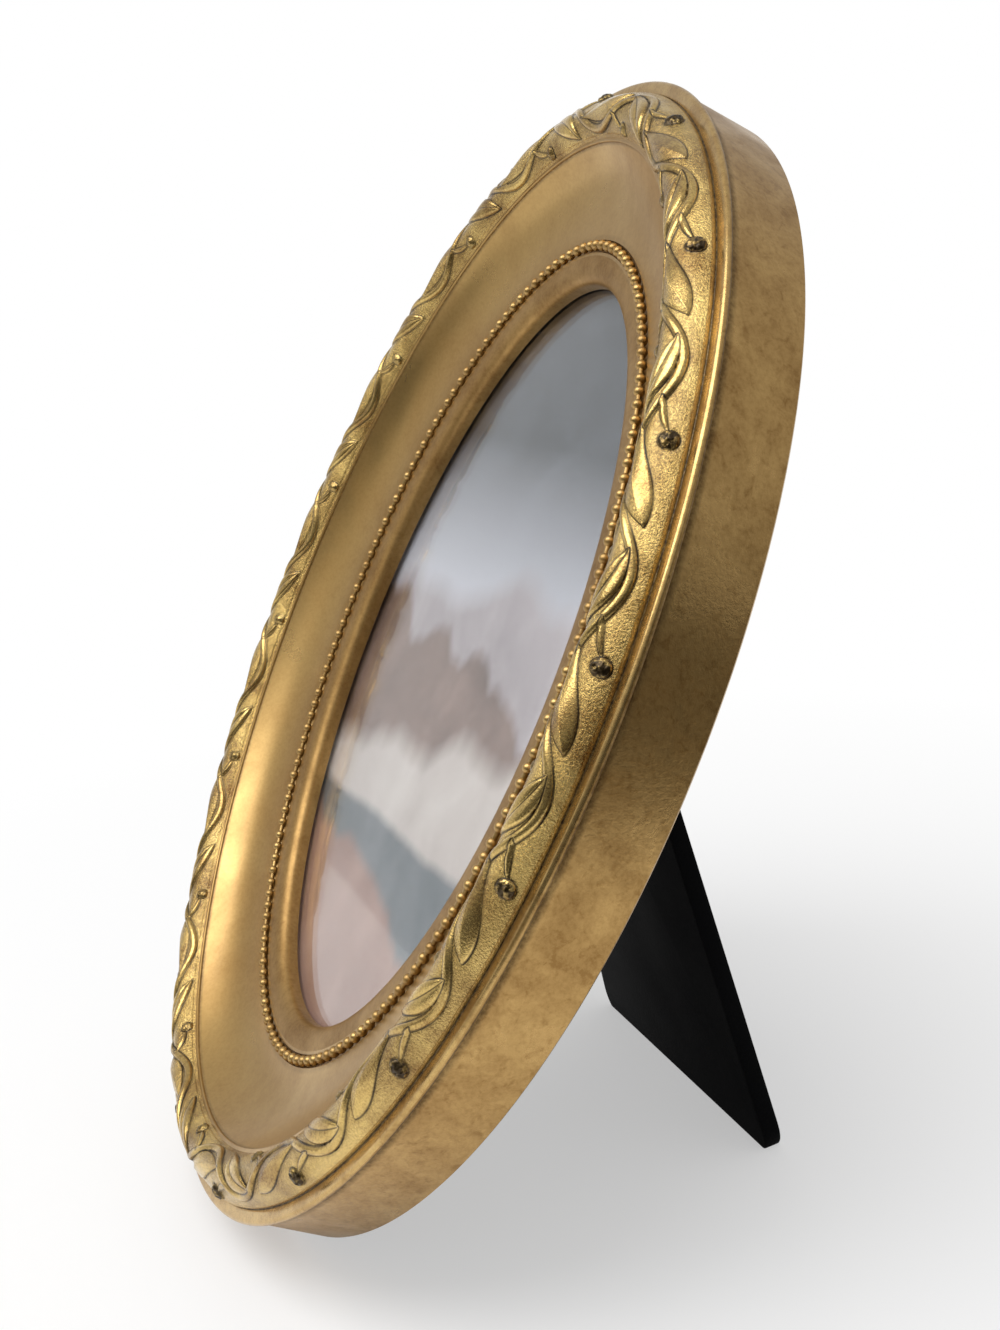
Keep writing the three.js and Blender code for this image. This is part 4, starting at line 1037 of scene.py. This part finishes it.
ring_pivot = pivot_of("ring_swing")
right_half = ((2.4, 0), (4.8, 0), (RING_REACH, -0.16 * RING_DROP), (0.8 * RING_REACH, -0.55 * RING_DROP),
              (0.45 * RING_REACH, -0.9 * RING_DROP))
left_half = tuple((-x, z) for x, z in reversed(right_half))
route = ((0, 0), *right_half, (0, -RING_DROP), *left_half)
wire_line = bpy.data.curves.new("ring_line", "CURVE")
wire_line.dimensions = "3D"
wire_line.bevel_depth = RING_WIRE * MM
wire_line.bevel_resolution = 4
loop = wire_line.splines.new("BEZIER")
loop.bezier_points.add(len(route) - 1)
loop.use_cyclic_u = True
loop.resolution_u = 8
for point, (x, z) in zip(loop.bezier_points, route):
    point.co = ring_pivot + Vector((x, 0, z)) * MM
    point.handle_left_type = "AUTO"
    point.handle_right_type = "AUTO"
wire_holder = put_in_scene("ring_line", wire_line)
bpy.context.view_layer.update()
wire_ring = bmesh.new()
wire_ring.from_mesh(wire_holder.to_mesh())
bpy.data.objects.remove(wire_holder)
bmesh.ops.remove_doubles(wire_ring, verts=wire_ring.verts, dist=0.000001)
brass_piece("wire_ring", wire_ring, "ring", "hanger_ring")

# The table: a plain pale floor that keeps the object's shadow and turns to the white backdrop further out. It
# glows white at almost half strength even next to the object, which lightens that shadow. Gilding and glass
# mirror it as white on the left and in a strip on the right; beyond that strip its colour is painted dark, a
# dark patch there only to dim the reflections in the gilding, which the white glow mostly hides from the
# camera.
FLOOR_RADIUS = 6
LEFT_OF_FLOOR = (-0.94, 0.34, 0)
floor_builder = bmesh.new()
bmesh.ops.create_circle(floor_builder, cap_ends=True, radius=FLOOR_RADIUS, segments=96)
floor_mesh = bpy.data.meshes.new("floor")
floor_builder.to_mesh(floor_mesh)
floor_builder.free()
floor = put_in_scene("floor", floor_mesh)


def along_way(tree, place, way):
    return add_node(tree, "VectorMath", {0: place, 1: way}, operation="DOT_PRODUCT").outputs["Value"]


def mirrored(tree, rays):
    return either(tree, rays["Is Glossy Ray"], rays["Is Transmission Ray"])


floor_paint, table, matte = new_finish("floor_paint")
spot = object_place(table)
to_the_right = add_node(table, "SeparateXYZ", {0: spot}).outputs["X"]
# Painted dark patch on the floor to the right, there only for dark reflections in the gilding.
painted_dark_floor = ranged(table, to_the_right, 0.21, 0.3, 0, 1)
wire(table, matte, {
    "Roughness": 0.9, "Specular IOR Level": 0.1,
    "Base Color": mixed(table, painted_dark_floor, (0.96, 0.96, 0.96, 1), (0.05, 0.045, 0.04, 1))})
left_share = ranged(table, along_way(table, spot, LEFT_OF_FLOOR), -0.1, 0.1, 0, 1)
right_strip = both(table, ranged(table, to_the_right, 0.1, 0.13, 0, 1),
                   ranged(table, to_the_right, 0.18, 0.23, 0.7, 0))
floor_rays = add_node(table, "LightPath").outputs
in_mirrors = both(table, mirrored(table, floor_rays), either(table, left_share, right_strip))
seen = either(table, floor_rays["Is Camera Ray"], in_mirrors)
distance = add_node(table, "VectorMath", {0: spot}, operation="LENGTH").outputs["Value"]
far = both(table, seen, ranged(table, distance, 0.06, 0.3, 0.45, 1))
white = add_node(table, "Emission", {"Color": (1, 1, 1, 1), "Strength": 1})
fade = add_node(table, "MixShader", {0: far, 1: matte.outputs[0], 2: white.outputs[0]})
wire(table, table.nodes["Material Output"], {"Surface": fade.outputs[0]})
floor_mesh.materials.append(floor_paint)

# Light: a white backdrop behind the object, an even room that is dim along the horizon from the right to
# the front, and one wide soft lamp overhead, a little to the front.
ROOM_LEVEL = 0.56
ROOM_DIM = 0.06
BACKDROP_WAY = (-0.9116, 0.3247, -0.252)
DIM_WAY = (0.82, -0.57, 0)
LAMP_WAY = Vector((0.1, -0.46, 0.87)).normalized()
LAMP_LONG_SIDE = Vector((0.74, 0.62, 0.29))
LAMP_DISTANCE = 0.9
world = bpy.data.worlds.new("studio")
bpy.context.scene.world = world
world.use_nodes = True
room = world.node_tree
room_rays = add_node(room, "LightPath").outputs
around = add_node(room, "TexCoord").outputs["Generated"]
behind = ranged(room, along_way(room, around, BACKDROP_WAY), 0.74, 0.87, 0, 1)
white_share = either(room, both(room, mirrored(room, room_rays), behind), room_rays["Is Camera Ray"])
facing = ranged(room, along_way(room, around, DIM_WAY), 0.18, 0.48, 0, 1)
off_horizon = reckon(room, "ABSOLUTE", add_node(room, "SeparateXYZ", {0: around}).outputs["Z"])
room_dim = both(room, facing, ranged(room, off_horizon, 0.3, 0.56, 1, 0))
level = ranged(room, room_dim, 0, 1, ROOM_LEVEL, ROOM_DIM)
wire(room, room.nodes["Background"], {
    "Color": (1, 1, 1, 1), "Strength": ranged(room, white_share, 0, 1, level, 1)})

lamp = bpy.data.lights.new("overhead_lamp", "AREA")
lamp.shape = "ELLIPSE"
lamp.size = 1.15
lamp.size_y = 0.62
lamp.energy = 6.4
lamp_holder = put_in_scene("overhead_lamp", lamp)
lamp_holder.location = Vector((0, 0, 0.1)) + LAMP_DISTANCE * LAMP_WAY
lamp_holder.rotation_mode = "QUATERNION"
lamp_short_side = LAMP_WAY.cross(LAMP_LONG_SIDE).normalized()
lamp_axes = Matrix((lamp_short_side.cross(LAMP_WAY), lamp_short_side, LAMP_WAY))
lamp_holder.rotation_quaternion = lamp_axes.transposed().to_quaternion()

# The camera stands to the right of the frame, a little above its middle, turned with the photograph. Its
# place and its turn are counted in the frame's own leaning axes.
EYE = (272.2, 19.2, 118.7)
VIEW_TURN = math.radians(65.95)
VIEW_RISE = math.radians(3.37)
VIEW_ROLL = math.radians(22.02)
FORWARD = -BACKWARD
back = (math.sin(VIEW_TURN) * ACROSS + math.cos(VIEW_TURN) * FORWARD) * math.cos(VIEW_RISE)
back += math.sin(VIEW_RISE) * UPWARD
level_right = UPWARD.cross(back).normalized()
level_up = back.cross(level_right)
right = math.cos(VIEW_ROLL) * level_right + math.sin(VIEW_ROLL) * level_up
up = back.cross(right)
camera_data = bpy.data.cameras.new("camera")
camera_data.lens = 43.62
camera_data.sensor_width = 36
camera_data.clip_start = 0.01
camera = put_in_scene("camera", camera_data)
camera.matrix_world = Matrix.Translation(on_plane(*EYE)) @ Matrix((right, up, back)).transposed().to_4x4()
bpy.context.scene.camera = camera
bpy.context.scene.view_settings.view_transform = "Standard"
